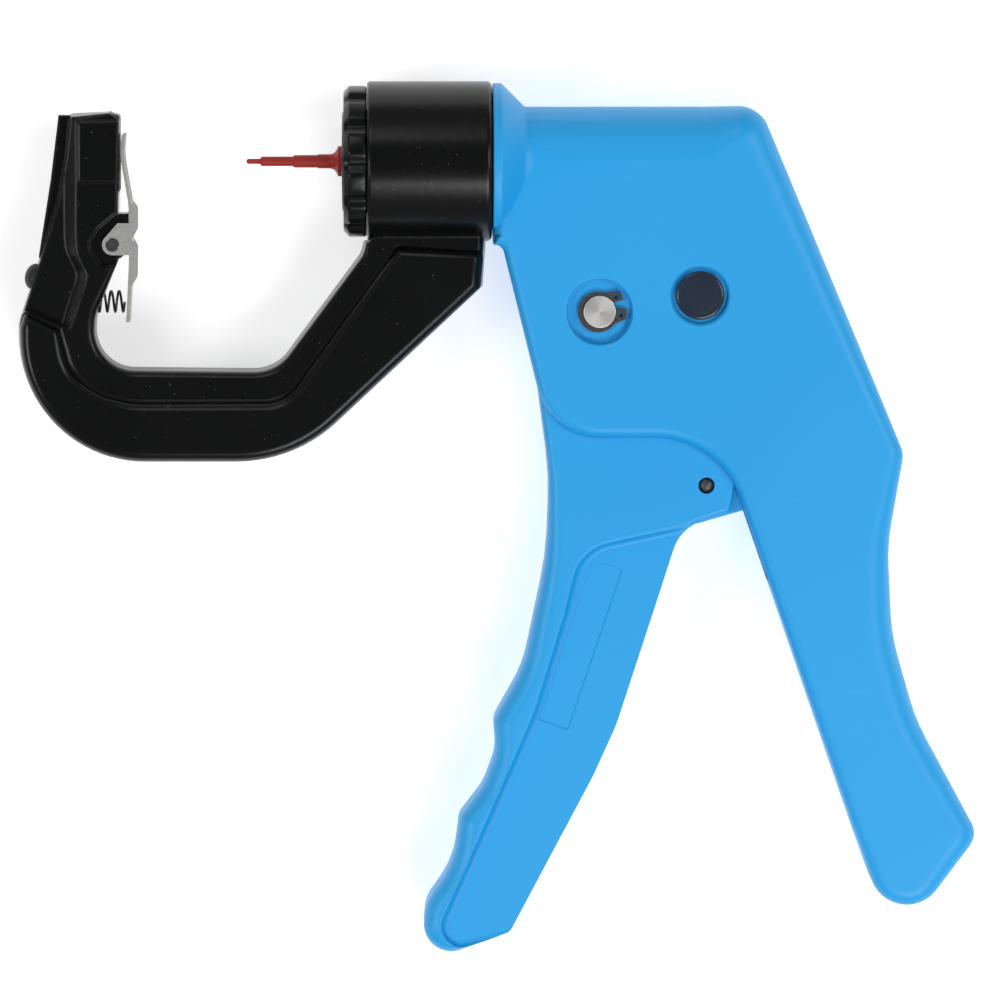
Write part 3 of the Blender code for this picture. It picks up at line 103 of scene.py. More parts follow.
ANVIL_FACE_X = -115.0
CLIP_HALF = 8.4
CLIP_THICK = 1.1
CLIP_PATH = [(-113.7, 8.6), (-114.1, 1.8), (-112.6, -8.0), (-111.7, -14.8), (-111.65, -29.4), (-112.6, -49.4)]
CLIP_HOLE_R = 2.1
CLIP_SPRING_Y = -43.4
CLIP_SPRING_FOOT_X = -122.65
CLIP_SPRING_END_X = -113.3
SPRING_FRONT_X = -33.5
SPRING_BACK_X = 38.2

# Stage
FLOOR_DROP = 0.07  # the collar's underside stands just below the plane that the tool lies on
FLOOR_SHADE = 0.85
FLOOR_GLOW = 0.55
SKY_LOW = 0.26
SKY_TOP = 0.10
PHOTO_PIXELS = 990
MM_A_PIXEL = 0.31

# Fineness
ARC_STEP = math.radians(4)
EDGE_LEVELS = 7
ROUND_STEPS = 96


# Meshes


def signed_area(points):
    return sum(a[0] * b[1] - b[0] * a[1] for a, b in zip(points, points[1:] + points[:1])) / 2


def arc_counts(knots, step=ARC_STEP):
    """How many chords each knot's arc takes."""
    counts = []
    for index, (x, y, radius, *_) in enumerate(knots):
        here = Vector((x, y))
        back = here - Vector(knots[index - 1][:2])
        ahead = Vector(knots[(index + 1) % len(knots)][:2]) - here
        turn = back.angle(ahead)
        counts.append(0 if radius <= 0 or turn < 1e-3 else max(2, round(turn / step)))
    return counts


def filleted(knots, counts=None):
    """Points of a closed outline whose knots (x, y, corner radius, ...) become arcs."""
    counts = counts or arc_counts(knots)
    points = []
    for index, (x, y, radius, *_) in enumerate(knots):
        here = Vector((x, y))
        back = (Vector(knots[index - 1][:2]) - here).normalized()
        ahead = (Vector(knots[(index + 1) % len(knots)][:2]) - here).normalized()
        turn = math.pi - back.angle(ahead)
        if counts[index] == 0 or radius < 1e-4:
            points += [(x, y)] * (counts[index] + 1)
            continue
        reach = radius * math.tan(turn / 2)
        centre = here + (back + ahead).normalized() * (radius / math.cos(turn / 2))
        start = here + back * reach - centre
        sweep = start.angle_signed(here + ahead * reach - centre)
        for i in range(counts[index] + 1):
            spoke = start.copy()
            spoke.rotate(Matrix.Rotation(-sweep * i / counts[index], 2))
            points.append((centre.x + spoke.x, centre.y + spoke.y))
    return points


def inset(knots, depths):
    """The outline with every knot moved inwards, or outwards, by its own depth."""
    moved = []
    for index, ((x, y, radius, *rest), depth) in enumerate(zip(knots, depths)):
        here = Vector((x, y))
        back = (here - Vector(knots[index - 1][:2])).normalized()
        ahead = (Vector(knots[(index + 1) % len(knots)][:2]) - here).normalized()
        normal = Vector((-back.y, back.x))
        bisector = (normal + Vector((-ahead.y, ahead.x))).normalized()
        spot = here + bisector * (depth / bisector.dot(normal))
        bend = radius - depth if back.cross(ahead) > 0 else radius + depth
        moved.append((spot.x, spot.y, max(bend, 0), *rest))
    return moved


def loft(knots, profile, step=ARC_STEP):
    """A solid whose outline follows each knot's own profile of (inset, height) pairs, bottom to top."""
    knots = knots if signed_area(knots) > 0 else knots[::-1]
    counts = arc_counts(knots, step)
    sections = [profile(knot) for knot in knots]
    bm = bmesh.new()
    rows = []
    for level in range(len(sections[0])):
        moved = inset(knots, [section[level][0] for section in sections])
        heights = [section[level][1] for section, count in zip(sections, counts) for _ in range(count + 1)]
        rows.append([bm.verts.new((x, y, z)) for (x, y), z in zip(filleted(moved, counts), heights)])
    for one, two in zip(rows, rows[1:]):
        for i in range(len(one)):
            j = (i + 1) % len(one)
            bm.faces.new((one[i], one[j], two[j], two[i]))
    bm.faces.new(rows[0][::-1])
    bm.faces.new(rows[-1])
    bmesh.ops.remove_doubles(bm, verts=bm.verts, dist=1e-4)
    bmesh.ops.dissolve_degenerate(bm, edges=bm.edges, dist=1e-4)
    return bm


def quarter(levels=EDGE_LEVELS):
    return [i / levels * math.pi / 2 for i in range(levels + 1)]


def crown(edge, drop, half, lean=0.0, levels=EDGE_LEVELS):
    """The round from a rim's side to its face at half, this wide and this high, as (inset, height) pairs."""
    return [(lean + edge * (1 - math.cos(q)), half - drop * (1 - math.sin(q))) for q in quarter(levels)]


def rounded_edge(half):
    """The profile of a plate whose rim is rounded by each knot's fourth value."""
    def profile(knot):
        edge = min(knot[3], half)
        upper = crown(edge, edge, half)
        return [(depth, -height) for depth, height in upper[::-1]] + upper
    return profile


def slab(knots, half):
    return loft(knots, rounded_edge(half))


def cast_edge(half):
    """The profile of a casting's rim: widest at the middle plane, drafted up to its rounded edge.

    A knot's fifth value, where it has one, is its draft in place of CAST_DRAFT.
    """
    def profile(knot):
        edge = min(knot[3], half)
        lean = (knot[4] if len(knot) > 4 else CAST_DRAFT) * (half - edge)
        upper = [(0, 0)] + crown(edge, edge, half, lean)
        return [(depth, -height) for depth, height in upper[:0:-1]] + upper
    return profile


def raised_edge(foot, half):
    """A plateau: a hollow as wide as each knot's fifth value, then a round as wide as its fourth.

    The two share the plateau's height as they share its width.
    """
    def profile(knot):
        edge, flare = knot[3], knot[4]
        low = (half - foot) * flare / (flare + edge)
        high = half - foot - low
        rise = [(flare * (math.sin(q) - 1), foot + low * (1 - math.cos(q))) for q in quarter(5)]
        upper = rise + crown(edge, high, half, levels=5)
        return [(depth, -height) for depth, height in upper[::-1]] + upper
    return profile


def sunk_edge(floor, rim, side, lip, fillet):
    """A pocket cutter: rounded lip at the rim, hollow fillet at the floor."""
    def profile(_knot):
        down = [(-lip, rim + 2)]
        down += [(lip * (math.sin(q) - 1), rim - lip * (1 - math.cos(q))) for q in quarter(5)]
        down += [(fillet * (1 - math.cos(q)), floor + fillet * (1 - math.sin(q))) for q in quarter(5)]
        return [(depth, side * height) for depth, height in (down[::-1] if side > 0 else down)]
    return profile


def prism(outline, low, high, top=None):
    """A straight plate, or a drafted one when its top outline is given."""
    top = top or outline
    if low > high:
        low, high, outline, top = high, low, top, outline
    bm = bmesh.new()
    lower = [bm.verts.new((p[0], p[1], low)) for p in outline]
    upper = [bm.verts.new((p[0], p[1], high)) for p in top]
    for i in range(len(lower)):
        j = (i + 1) % len(lower)
        bm.faces.new((lower[i], lower[j], upper[j], upper[i]))
    bm.faces.new(lower[::-1])
    bm.faces.new(upper)
    bmesh.ops.recalc_face_normals(bm, faces=bm.faces)
    return bm


def turned(profile, along="Z", centre=(0, 0), steps=ROUND_STEPS, ring=False):
    """A body of revolution from (place, radius) points; a ring's profile closes on itself."""
    bm = bmesh.new()
    rows = []
    for spot, radius in profile:
        sides = steps if radius > 1e-6 else 1
        row = []
        for i in range(sides):
            angle = 2 * math.pi * (i + 0.5) / steps
            across = centre[0] + radius * math.cos(angle)
            up = centre[1] + radius * math.sin(angle)
            row.append(bm.verts.new((spot, across, up) if along == "X" else (across, up, spot)))
        rows.append(row)
    pairs = list(zip(rows, rows[1:])) + ([(rows[-1], rows[0])] if ring else [])
    for one, two in pairs:
        for i in range(steps):
            j = (i + 1) % steps
            corners = [one[i % len(one)], one[j % len(one)], two[j % len(two)], two[i % len(two)]]
            bm.faces.new(list(dict.fromkeys(corners)))
    if not ring:
        for row in (rows[0], rows[-1]):
            if len(row) > 1:
                bm.faces.new(row)
    bmesh.ops.recalc_face_normals(bm, faces=bm.faces)
    return bm


def rod(radius, low, high, along="Z", centre=(0, 0), steps=ROUND_STEPS):
    return turned([(low, radius), (high, radius)], along, centre, steps)


def arc(centre, radius, start, end, steps=6):
    """Points of an arc in a turned profile, from one angle in degrees to another."""
    angles = [math.radians(start + (end - start) * i / steps) for i in range(steps + 1)]
    return [(centre[0] + radius * math.cos(a), centre[1] + radius * math.sin(a)) for a in angles]


def both_ends(half):
    """A turned profile that is the same on both sides of the middle plane."""
    return [(-spot, radius) for spot, radius in half[::-1]] + half


def circle(radius, centre, count=48, start=0.0, sweep=2 * math.pi):
    last = count if abs(sweep - 2 * math.pi) < 1e-9 else count - 1
    angles = [start + sweep * i / last for i in range(count)]
    return [(centre[0] + radius * math.cos(a), centre[1] + radius * math.sin(a)) for a in angles]


def smooth_path(points, per=8):
    """A curve through the points, with their ends kept."""
    spots = [Vector(p) for p in points]
    path = []
    for i in range(len(spots) - 1):
        a, b, c, d = (spots[min(max(i + k, 0), len(spots) - 1)] for k in (-1, 0, 1, 2))
        for step in range(per):
            t = step / per
            path.append((0.5 * (2 * b + (c - a) * t + (2 * a - 5 * b + 4 * c - d) * t * t
                                + (3 * b - a - 3 * c + d) * t ** 3))[:])
    return path + [spots[-1][:]]


# Pieces


def place(name, bm):
    """Link a mesh drawn in the drawing frame, brought to metres with the object at the origin."""
    bmesh.ops.scale(bm, verts=bm.verts, vec=(MM, MM, MM))
    bmesh.ops.translate(bm, verts=bm.verts, vec=DATUM)
    mesh = bpy.data.meshes.new(name)
    bm.to_mesh(mesh)
    bm.free()
    item = bpy.data.objects.new(name, mesh)
    bpy.context.scene.collection.objects.link(item)
    return item


def carve(target, bm, operation):
    """Join or cut a helper solid, and apply it."""
    helper = place(f"{target.name}_tool", bm)
    modifier = target.modifiers.new("carve", "BOOLEAN")
    modifier.operation = operation
    modifier.object = helper
    modifier.solver = "EXACT"
    bake_modifiers(target)
    bpy.data.objects.remove(helper, do_unlink=True)


def bake_modifiers(target):
    graph = bpy.context.evaluated_depsgraph_get()
    mesh = bpy.data.meshes.new_from_object(target.evaluated_get(graph))
    target.modifiers.clear()
    old = target.data
    target.data = mesh
    mesh.name = target.name
    bpy.data.meshes.remove(old)


def dress(target, material, body, nodes=(), bevel=0.0, sharp=32):
    """Round the edges, smooth the shading, and hand the piece to its body and node."""
    if bevel:
        modifier = target.modifiers.new("edges", "BEVEL")
        modifier.width = bevel * MM
        modifier.segments = 2
        modifier.limit_method = "ANGLE"
        modifier.angle_limit = math.radians(sharp)
        modifier.harden_normals = False
        bake_modifiers(target)
    target.data.shade_smooth()
    target.data.set_sharp_from_angle(angle=math.radians(sharp))
    weigh = target.modifiers.new("weigh", "WEIGHTED_NORMAL")
    weigh.keep_sharp = True
    weigh.weight = 50
    bake_modifiers(target)
    target.data.materials.clear()
    target.data.materials.append(material)
    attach(target, body)
    if nodes:
        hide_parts(*nodes)
    return target


# Finishes


class Wire:
    """A shader socket with arithmetic: an expression on it adds its Math nodes."""

    def __init__(self, tree, socket=None):
        self.tree = tree
        self.socket = socket

    def node(self, kind, settings=None, values=None, output=0):
        item = self.tree.nodes.new("ShaderNode" + kind)
        for name, value in (settings or {}).items():
            if name == "stops":
                ramp = item.color_ramp
                while len(ramp.elements) < len(value):
                    ramp.elements.new(0.5)
                for element, (spot, shade) in zip(ramp.elements, value):
                    element.position = spot
                    element.color = (shade, shade, shade, 1)
            else:
                setattr(item, name, value)
        for name, value in (values or {}).items():
            if isinstance(value, Wire):
                self.tree.links.new(value.socket, item.inputs[name])
            else:
                item.inputs[name].default_value = value
        return Wire(self.tree, item.outputs[output])

    def math(self, operation, *values):
        return self.node("Math", {"operation": operation}, dict(enumerate(values)))

    def __add__(self, other):
        return self.math("ADD", self, other)

    def __sub__(self, other):
        return self.math("SUBTRACT", self, other)

    def __mul__(self, other):
        return self.math("MULTIPLY", self, other)

    def __rsub__(self, other):
        return self.math("SUBTRACT", other, self)

    __radd__ = __add__
    __rmul__ = __mul__

    def mix(self, one, two):
        """One colour where this is 0 and another where it is 1."""
        sockets = {"Factor": self, 6: one, 7: two}
        return self.node("Mix", {"data_type": "RGBA"}, sockets, output=2)


def colour(r, g, b):
    """A linear colour from a screen colour of 0 to 255."""
    def linear(value):
        share = value / 255
        return share / 12.92 if share <= 0.04045 else ((share + 0.055) / 1.055) ** 2.4
    return (linear(r), linear(g), linear(b), 1.0)


def new_finish(name):
    material = bpy.data.materials.new(name)
    material.use_nodes = True
    tree = material.node_tree
    shader = tree.nodes["Principled BSDF"]
    start = Wire(tree)
    spot = start.node("TexCoord", output=3)
    return material, tree, shader, start, spot


def feed(tree, shader, **sockets):
    names = {"base": "Base Color", "rough": "Roughness", "metal": "Metallic", "normal": "Normal"}
    for key, value in sockets.items():
        if isinstance(value, Wire):
            tree.links.new(value.socket, shader.inputs[names[key]])
        else:
            shader.inputs[names[key]].default_value = value


def noise(start, spot, scale, detail=3.0, rough=0.55, stretch=None):
    if stretch:
        spot = start.node("Mapping", None, {"Vector": spot, "Scale": stretch})
    values = {"Vector": spot, "Scale": scale, "Detail": detail, "Roughness": rough}
    return start.node("TexNoise", None, values)


def threshold(start, value, low, high):
    return start.node("MapRange", None, {"Value": value, "From Min": low, "From Max": high})


def component(start, vector, axis):
    return start.node("SeparateXYZ", None, {"Vector": vector}, output=axis)


def grained(start, height, strength, depth=0.0001, **normal):
    """Surface grain this deep in metres, on the plain normal or on a given one."""
    return start.node("Bump", None, {"Height": height, "Strength": strength, "Distance": depth, **normal})


def softened(start, radius, height, strength, depth):
    """Surface grain on edges that catch the light as rounded ones."""
    edges = start.node("Bevel", {"samples": 6}, {"Radius": radius * MM})
    return grained(start, height, strength, depth, Normal=edges)


def moulded_blue():
    """Satin moulded polymer: fine grain, faint flow shades and hairline scuffs."""
    material, tree, shader, start, spot = new_finish("moulded_blue")
    clouds = noise(start, spot, 9.0, 2.0)
    base = clouds.mix(colour(20, 157, 226), colour(26, 165, 234))
    scuffs = threshold(start, noise(start, spot, 60.0, 4.0, 0.6, (1.0, 6.0, 1.0)), 0.68, 0.76)
    base = (scuffs * 0.2).mix(base, colour(92, 184, 240))
    grain = noise(start, spot, 1500.0, 2.0)
    feed(tree, shader, base=base, rough=0.40 + 0.10 * clouds + 0.08 * scuffs,
         normal=softened(start, 0.7, grain, 0.10, 0.00015))
    return material


def cast_black():
    """Black coat on a casting: slight orange peel, dust specks, and bare spots at the anvil's top edge."""
    material, tree, shader, start, spot = new_finish("cast_black")
    peel = noise(start, spot, 420.0, 2.0)
    clouds = noise(start, spot, 25.0, 3.0)
    specks = threshold(start, noise(start, spot, 1300.0, 2.0, 0.4), 0.765, 0.78)
    base = clouds.mix(colour(8, 9, 10), colour(13, 14, 15))
    base = (specks * 0.4).mix(base, colour(150, 150, 148))
    top = DATUM.y + 12.4 * MM
    edge = threshold(start, component(start, spot, 1), top, top + 2.6 * MM)
    bare = edge * threshold(start, noise(start, spot, 700.0, 3.0), 0.66, 0.72)
    bare = bare * threshold(start, component(start, spot, 0), DATUM.x - 110 * MM, DATUM.x - 112 * MM)
    base = bare.mix(base, colour(150, 148, 142))
    shader.inputs["Specular IOR Level"].default_value = 0.28
    feed(tree, shader, base=base, rough=0.19 + 0.10 * clouds + 0.1 * specks,
         normal=softened(start, 1.1, peel, 0.14, 0.0002))
    return material


def metal(name, low, high, rough, grain=(1, 1, 1), scale=900.0, strength=0.1, metallic=1.0):
    """Steel with a directional grain and a slight change of shade."""
    material, tree, shader, start, spot = new_finish(name)
    lines = noise(start, spot, scale, 3.0, 0.6, grain)
    base = lines.mix(colour(*low), colour(*high))
    feed(tree, shader, base=base, metal=metallic, rough=rough + 0.12 * lines,
         normal=grained(start, lines, strength))
    return material


def faced_steel():
    """The lever pin's end: fine turning marks, and a painted sheen: the colour goes lighter and darker with
    the angle about its centre.
    """
    material, tree, shader, start, spot = new_finish("faced_steel")
    centre = (DATUM.x + LEVER_AXIS.x * MM, DATUM.y + LEVER_AXIS.y * MM, 0)
    around = start.node("VectorMath", {"operation": "SUBTRACT"}, {0: spot, 1: centre})
    around = start.node("VectorMath", {"operation": "MULTIPLY"}, {0: around, 1: (1, 1, 0)})
    reach = start.node("VectorMath", {"operation": "LENGTH"}, {0: around}, output=1)
    marks = start.node("TexNoise", {"noise_dimensions": "1D"}, {"W": reach, "Scale": 2600.0, "Detail": 2.0})
    # Painted sheen: the base colour turns lighter and darker in two pairs of sectors about the pin's centre,
    # and its light base partly stands in for the reflection of a lamp above
    angle = start.math("ARCTAN2", component(start, around, 1), component(start, around, 0))
    painted_sheen = 0.5 + 0.5 * start.math("COSINE", 2 * angle - 1.9)
    base = painted_sheen.mix(colour(180, 179, 175), colour(222, 221, 216))
    feed(tree, shader, base=(0.25 * marks).mix(base, colour(160, 159, 156)), metal=0.4,
         rough=0.30 + 0.12 * marks, normal=grained(start, marks, 0.12))
    return material


def plastic(name, low, high, rough, scale=500.0, strength=0.08):
    """Coloured plastic or rubber with a fine grain."""
    material, tree, shader, start, spot = new_finish(name)
    grain = noise(start, spot, scale, 3.0)
    base = noise(start, spot, 120.0, 2.0).mix(colour(*low), colour(*high))
    feed(tree, shader, base=base, rough=rough + 0.1 * grain, normal=grained(start, grain, strength))
    return material


BLUE = moulded_blue()
BLACK = cast_black()
RED = plastic("pin_red", (148, 22, 10), (168, 30, 14), 0.46)
FACED = faced_steel()
BRIGHT = metal("ground_steel", (168, 167, 160), (206, 204, 198), 0.22)
DARK = metal("blackened_steel", (66, 65, 67), (92, 90, 92), 0.36, metallic=0.7)
SHEET = metal("stamped_stainless", (158, 158, 154), (196, 196, 192), 0.34, metallic=0.6)
# The cap's colour is partly the dark plastic's own and partly painted bluish sheen, lifted above black to a
# lighter blue-grey
CAP = plastic("cap_black", (32, 41, 56), (46, 57, 72), 0.10, 300.0, 0.02)
RUBBER = plastic("knob_rubber", (26, 26, 28), (38, 38, 40), 0.5)


# Outlines: corner radius, then edge round


def body_outline():
    back, arch = 4.5, 3.2
    grip = 8.5
    return [
        (0.45, BODY_TOP, 0, BODY_HALF), (66, BODY_TOP, 0, BODY_HALF), (82.9, BODY_TOP, 9, 9),
        (127.4, -90, 8, back), (122.6, -119, 60, 6.5), (124.2, -147, 60, grip), (131.6, -173, 60, grip),
        (151.1, -209.1, 6.5, 6), (125.1, -243.2, 11.6, back), (112.2, -207, 30, arch),
        (70.2, -85.0, 28, arch), (17.8, -84.9, 20, arch), (3.1, -25.3, 3.2, arch), (0.45, -25.3, 0, arch),
    ]


def cavity_outline():
    """The hollow of the body, one wall inside it, open at the arch and at the top of the grip's front."""
    knots = body_outline()
    inner = inset(knots[::-1], [BODY_WALL] * len(knots))[::-1]
    top = BODY_TOP - BODY_WALL
    back = [(x, y, radius, 0.6) for x, y, radius, _ in inner[2:7]]
    back[0] = (*back[0][:3], 6)
    arch, chin = inner[-3], inner[-2]
    along = (FRONT_WALL_END - chin[1]) / (arch[1] - chin[1])
    mouth = [(131, -200, 4), (114, -205, 4), (92.4, -136, 5), (83.6, -128.4, 0), (66, -124, 0), (24, -110, 0),
             (8, -72, 0)]
    mouth += [(chin[0] + (arch[0] - chin[0]) * along, FRONT_WALL_END, 1), (chin[0], chin[1], 0)]
    mouth += [(CAVITY_FRONT_X, -top, 0)]
    crown = [(CAVITY_FRONT_X, top, 0, 2), (10.8, top, 0, 11), (66, top, 0, 11)]
    return crown + back + [(*knot, 0.6) for knot in mouth]


def trigger_outline():
    """The lever's top and back down to its toe, then the finger rests and the front."""
    return [
        (13.9, -70.2, 3, 2), (55.4, -49.2, 10, 1), (56.1, -32.9, 8, 1), (72.1, -32.9, 8, 1),
        (74.6, -60, 30, 1), (75.4, -98.5, 3, 1), (73.6, -108.2, 2, 1.5), (58.4, -113.2, 14, 2),
        (50.2, -138.8, 60, 2), (38.6, -174.5, 40, 2), (31.4, -190.5, 40, 1.5), (5.6, -239.2, 3, 1.5),
        (-22.6, -249.9, 8.5, 5), (-20.6, -230.3, 12, 6), (-11.9, -217.8, 30, 6), (-10.2, -203.6, 5, 6),
        (-2.6, -193.6, 18, 6), (1.2, -183.0, 16, 6), (0.4, -173.2, 7, 6), (9.6, -157.0, 40, 6),
        (16.8, -123.0, 90, 5), (17.9, -98.0, 90, 3), (14.6, -72.8, 0, 2),
    ]


def jaw_outline():
    middle = (NOSE_R + COLLAR_R) / 2
    return [
        (-130.6, 14.9, 1.2, 1), (-131.8, 2.0, 30, 1.5), (-134.4, -12.0, 30, 1.5), (-143.6, -40.6, 30, 2),
        (-146.7, -50.0, 10, 2.5), (-146.5, -93.1, 39, 2.5), (-61.0, -93.2, 45, 2.5), (-2.8, -38.6, 1.5, 2.5),
        (-1.6, -middle, 0, 2),
        (-33.5, -middle, 0, 1), (-38.5, -24.3, 0, 1), (-39.6, -24.6, 0.4, 1), (-40.7, -28.4, 6, 1.5),
        (-67.2, -64.2, 13, 2.5), (-123.2, -63.6, 12, 2.5),
        (-122.2, -47.0, 14, 2.5, 0.05), (-115.6, -30.4, 4, 1, 0), (-115.6, -16.0, 0, 0.8, 0),
        (ANVIL_FACE_X, 13.2, 1.0, 0.8, 0), (-118.0, 15.3, 0, 1, 0),
    ]


def plateau_outline():
    """The thick part of the neck; a knot's fifth value is the width of the hollow at its foot."""
    return [
        (-29.2, -26.2, 1.5, 3.2, 1.4), (-64.2, -74.2, 12, 3.2, 1.4), (-111.0, -74.4, 30, 3, 1.4),
        (-122.6, -71.8, 24, 3, 2.2), (-131.2, -64.2, 14, 3.2, 3.0), (-134.2, -51.8, 1, 2.0, 2.0),
        (-144.4, -46.6, 1, 2.2, 1.0),
        (-145.9, -50.6, 6, 3, 0.02), (-145.8, -92.5, 38.4, 3, 0.02), (-61.3, -92.6, 45, 3, 0.02),
        (-3.6, -38.8, 1.5, 3, 0.02), (-3.4, -27.7, 2, 2.6, 0.8),
    ]


def strip(path, thick):
    """The outline of a bent sheet of even thickness along a path."""
    points = [Vector(p) for p in path]
    offsets = []
    for i, here in enumerate(points):
        back = (here - points[max(i - 1, 0)]).normalized() if i else (points[1] - here).normalized()
        ahead = (points[i + 1] - here).normalized() if i < len(points) - 1 else back
        normal = Vector((-back.y, back.x))
        bisector = (normal + Vector((-ahead.y, ahead.x))).normalized()
        offsets.append(bisector * (thick / 2 / bisector.dot(normal)))
    left = [(p + o)[:] for p, o in zip(points, offsets)]
    right = [(p - o)[:] for p, o in zip(points, offsets)]
    return left + right[::-1]


def make_body():
    """Handle and hollow body with the neck's cone and the nose; bosses, pockets and holes for the pins."""
    body = place("body", slab(body_outline(), BODY_HALF))
    neck = [(0.3, NOSE_R - 1), (0.3, 23.7)] + arc((0.8, 23.7), 0.5, 180, 90)
    neck += [(2.5, 24.2), (2.9, 24.1), (3.3, 23.8), (9.3, 17.8), (9.9, 17.2), (10.7, 16.7), (12, 16.3),
             (14, 16.0), (15, NOSE_R - 1)]
    carve(body, turned(neck, "X"), "UNION")
    carve(body, rod(NOSE_R, -43.9, 4.3, "X"), "UNION")
    carve(body, slab(cavity_outline(), CAVITY_HALF), "DIFFERENCE")
    carve(body, rod(NOSE_BORE_R, -49, CAVITY_FRONT_X + 2, "X"), "DIFFERENCE")
    for side in (1, -1):
        low, high = sorted((side * (LEVER_HALF + REST_GAP), side * 14.8))
        carve(body, rod(LEVER_BOSS_R, low, high, centre=LEVER_AXIS), "UNION")
        carve(body, chamfered_hole(POCKET_R, POCKET_FLOOR, 0.5, side, LEVER_AXIS), "DIFFERENCE")
        carve(body, chamfered_hole(CAP_HOLE_R, CAP_HOLE_FLOOR, 0.75, side, TRIGGER_AXIS), "DIFFERENCE")
    for centre, radius in ((LEVER_AXIS, LEVER_HOLE_R), (TRIGGER_AXIS, TRIGGER_HOLE_R)):
        carve(body, rod(radius, -20, 20, centre=centre), "DIFFERENCE")
    dress(body, BLUE, "housing", ["body_shell"])


def chamfered_hole(radius, floor, chamfer, side, centre):
    """A blind hole from one side of the body, with a chamfer round its mouth."""
    points = [(floor, 0), (floor, radius), (BODY_HALF - chamfer, radius),
              (BODY_HALF + 1, radius + chamfer + 1), (BODY_HALF + 1, 0)]
    return turned([(side * spot, r) for spot, r in points], centre=centre)


def make_trigger():
    """A channel between two cheeks at the top, a web behind a thick rib in the grip."""
    trigger = place("trigger_grip", slab(trigger_outline(), TRIGGER_HALF))
    channel = [
        (17.8, -67.8, 0), (17.8, -72.8, 0), (21.1, -98, 0), (20.4, -112, 2), (50, -110.9, 20),
        (74.5, -105.4, 0), (82.4, -104.4, 0), (82.4, -25.9, 0), (34.8, -25.9, 0),
    ]
    carve(trigger, prism(filleted(channel), -CHEEK_INNER, CHEEK_INNER), "DIFFERENCE")
    tongue = [(58, -113.4), (68, -110.6), (79.4, -107.3), (80.4, -98), (78, -90), (73.2, -90), (72.8, -103),
              (68, -107.9), (60, -110.4)]
    carve(trigger, prism(tongue, -CHEEK_INNER - 0.2, CHEEK_INNER + 0.2), "UNION")
    recess = [
        (27.6, -120.0, 14), (62.1, -112.4, 0), (78, -111, 0), (70, -150, 0), (30, -215, 0), (18, -236.6, 0),
        (7, -240.0, 0), (-11.0, -244.4, 5), (-16.6, -238.4, 6), (-1.8, -205.3, 60), (13.4, -170.6, 60),
        (22.6, -140.4, 40),
    ]

    for side in (1, -1):
        cutter = loft(recess, sunk_edge(TRIGGER_WEB_HALF, TRIGGER_HALF, side, 1.2, 1.9))
        carve(trigger, cutter, "DIFFERENCE")
        low, high = sorted((side * 2.8, side * (CHEEK_INNER + 0.5)))
        carve(trigger, rod(LINK_BOSS_R, low, high, centre=LINK_AXIS), "UNION")
    label = [(31.1, -123.3, 0.6), (40.4, -126.1, 0.6), (23.5, -176.2, 0.6), (14.4, -172.8, 0.6)]
    carve(trigger, prism(filleted(label), TRIGGER_WEB_HALF - LABEL_DEPTH, TRIGGER_HALF), "DIFFERENCE")
    carve(trigger, rod(TRIGGER_HUB_R, -CHEEK_INNER - 1, CHEEK_INNER + 1, centre=TRIGGER_AXIS), "UNION")
    carve(trigger, rod(TRIGGER_HOLE_R, -17, 17, centre=TRIGGER_AXIS), "DIFFERENCE")
    carve(trigger, rod(LINK_HOLE_R, -17, 17, centre=LINK_AXIS), "DIFFERENCE")
    dress(trigger, BLUE, "trigger_arm", ["trigger"])


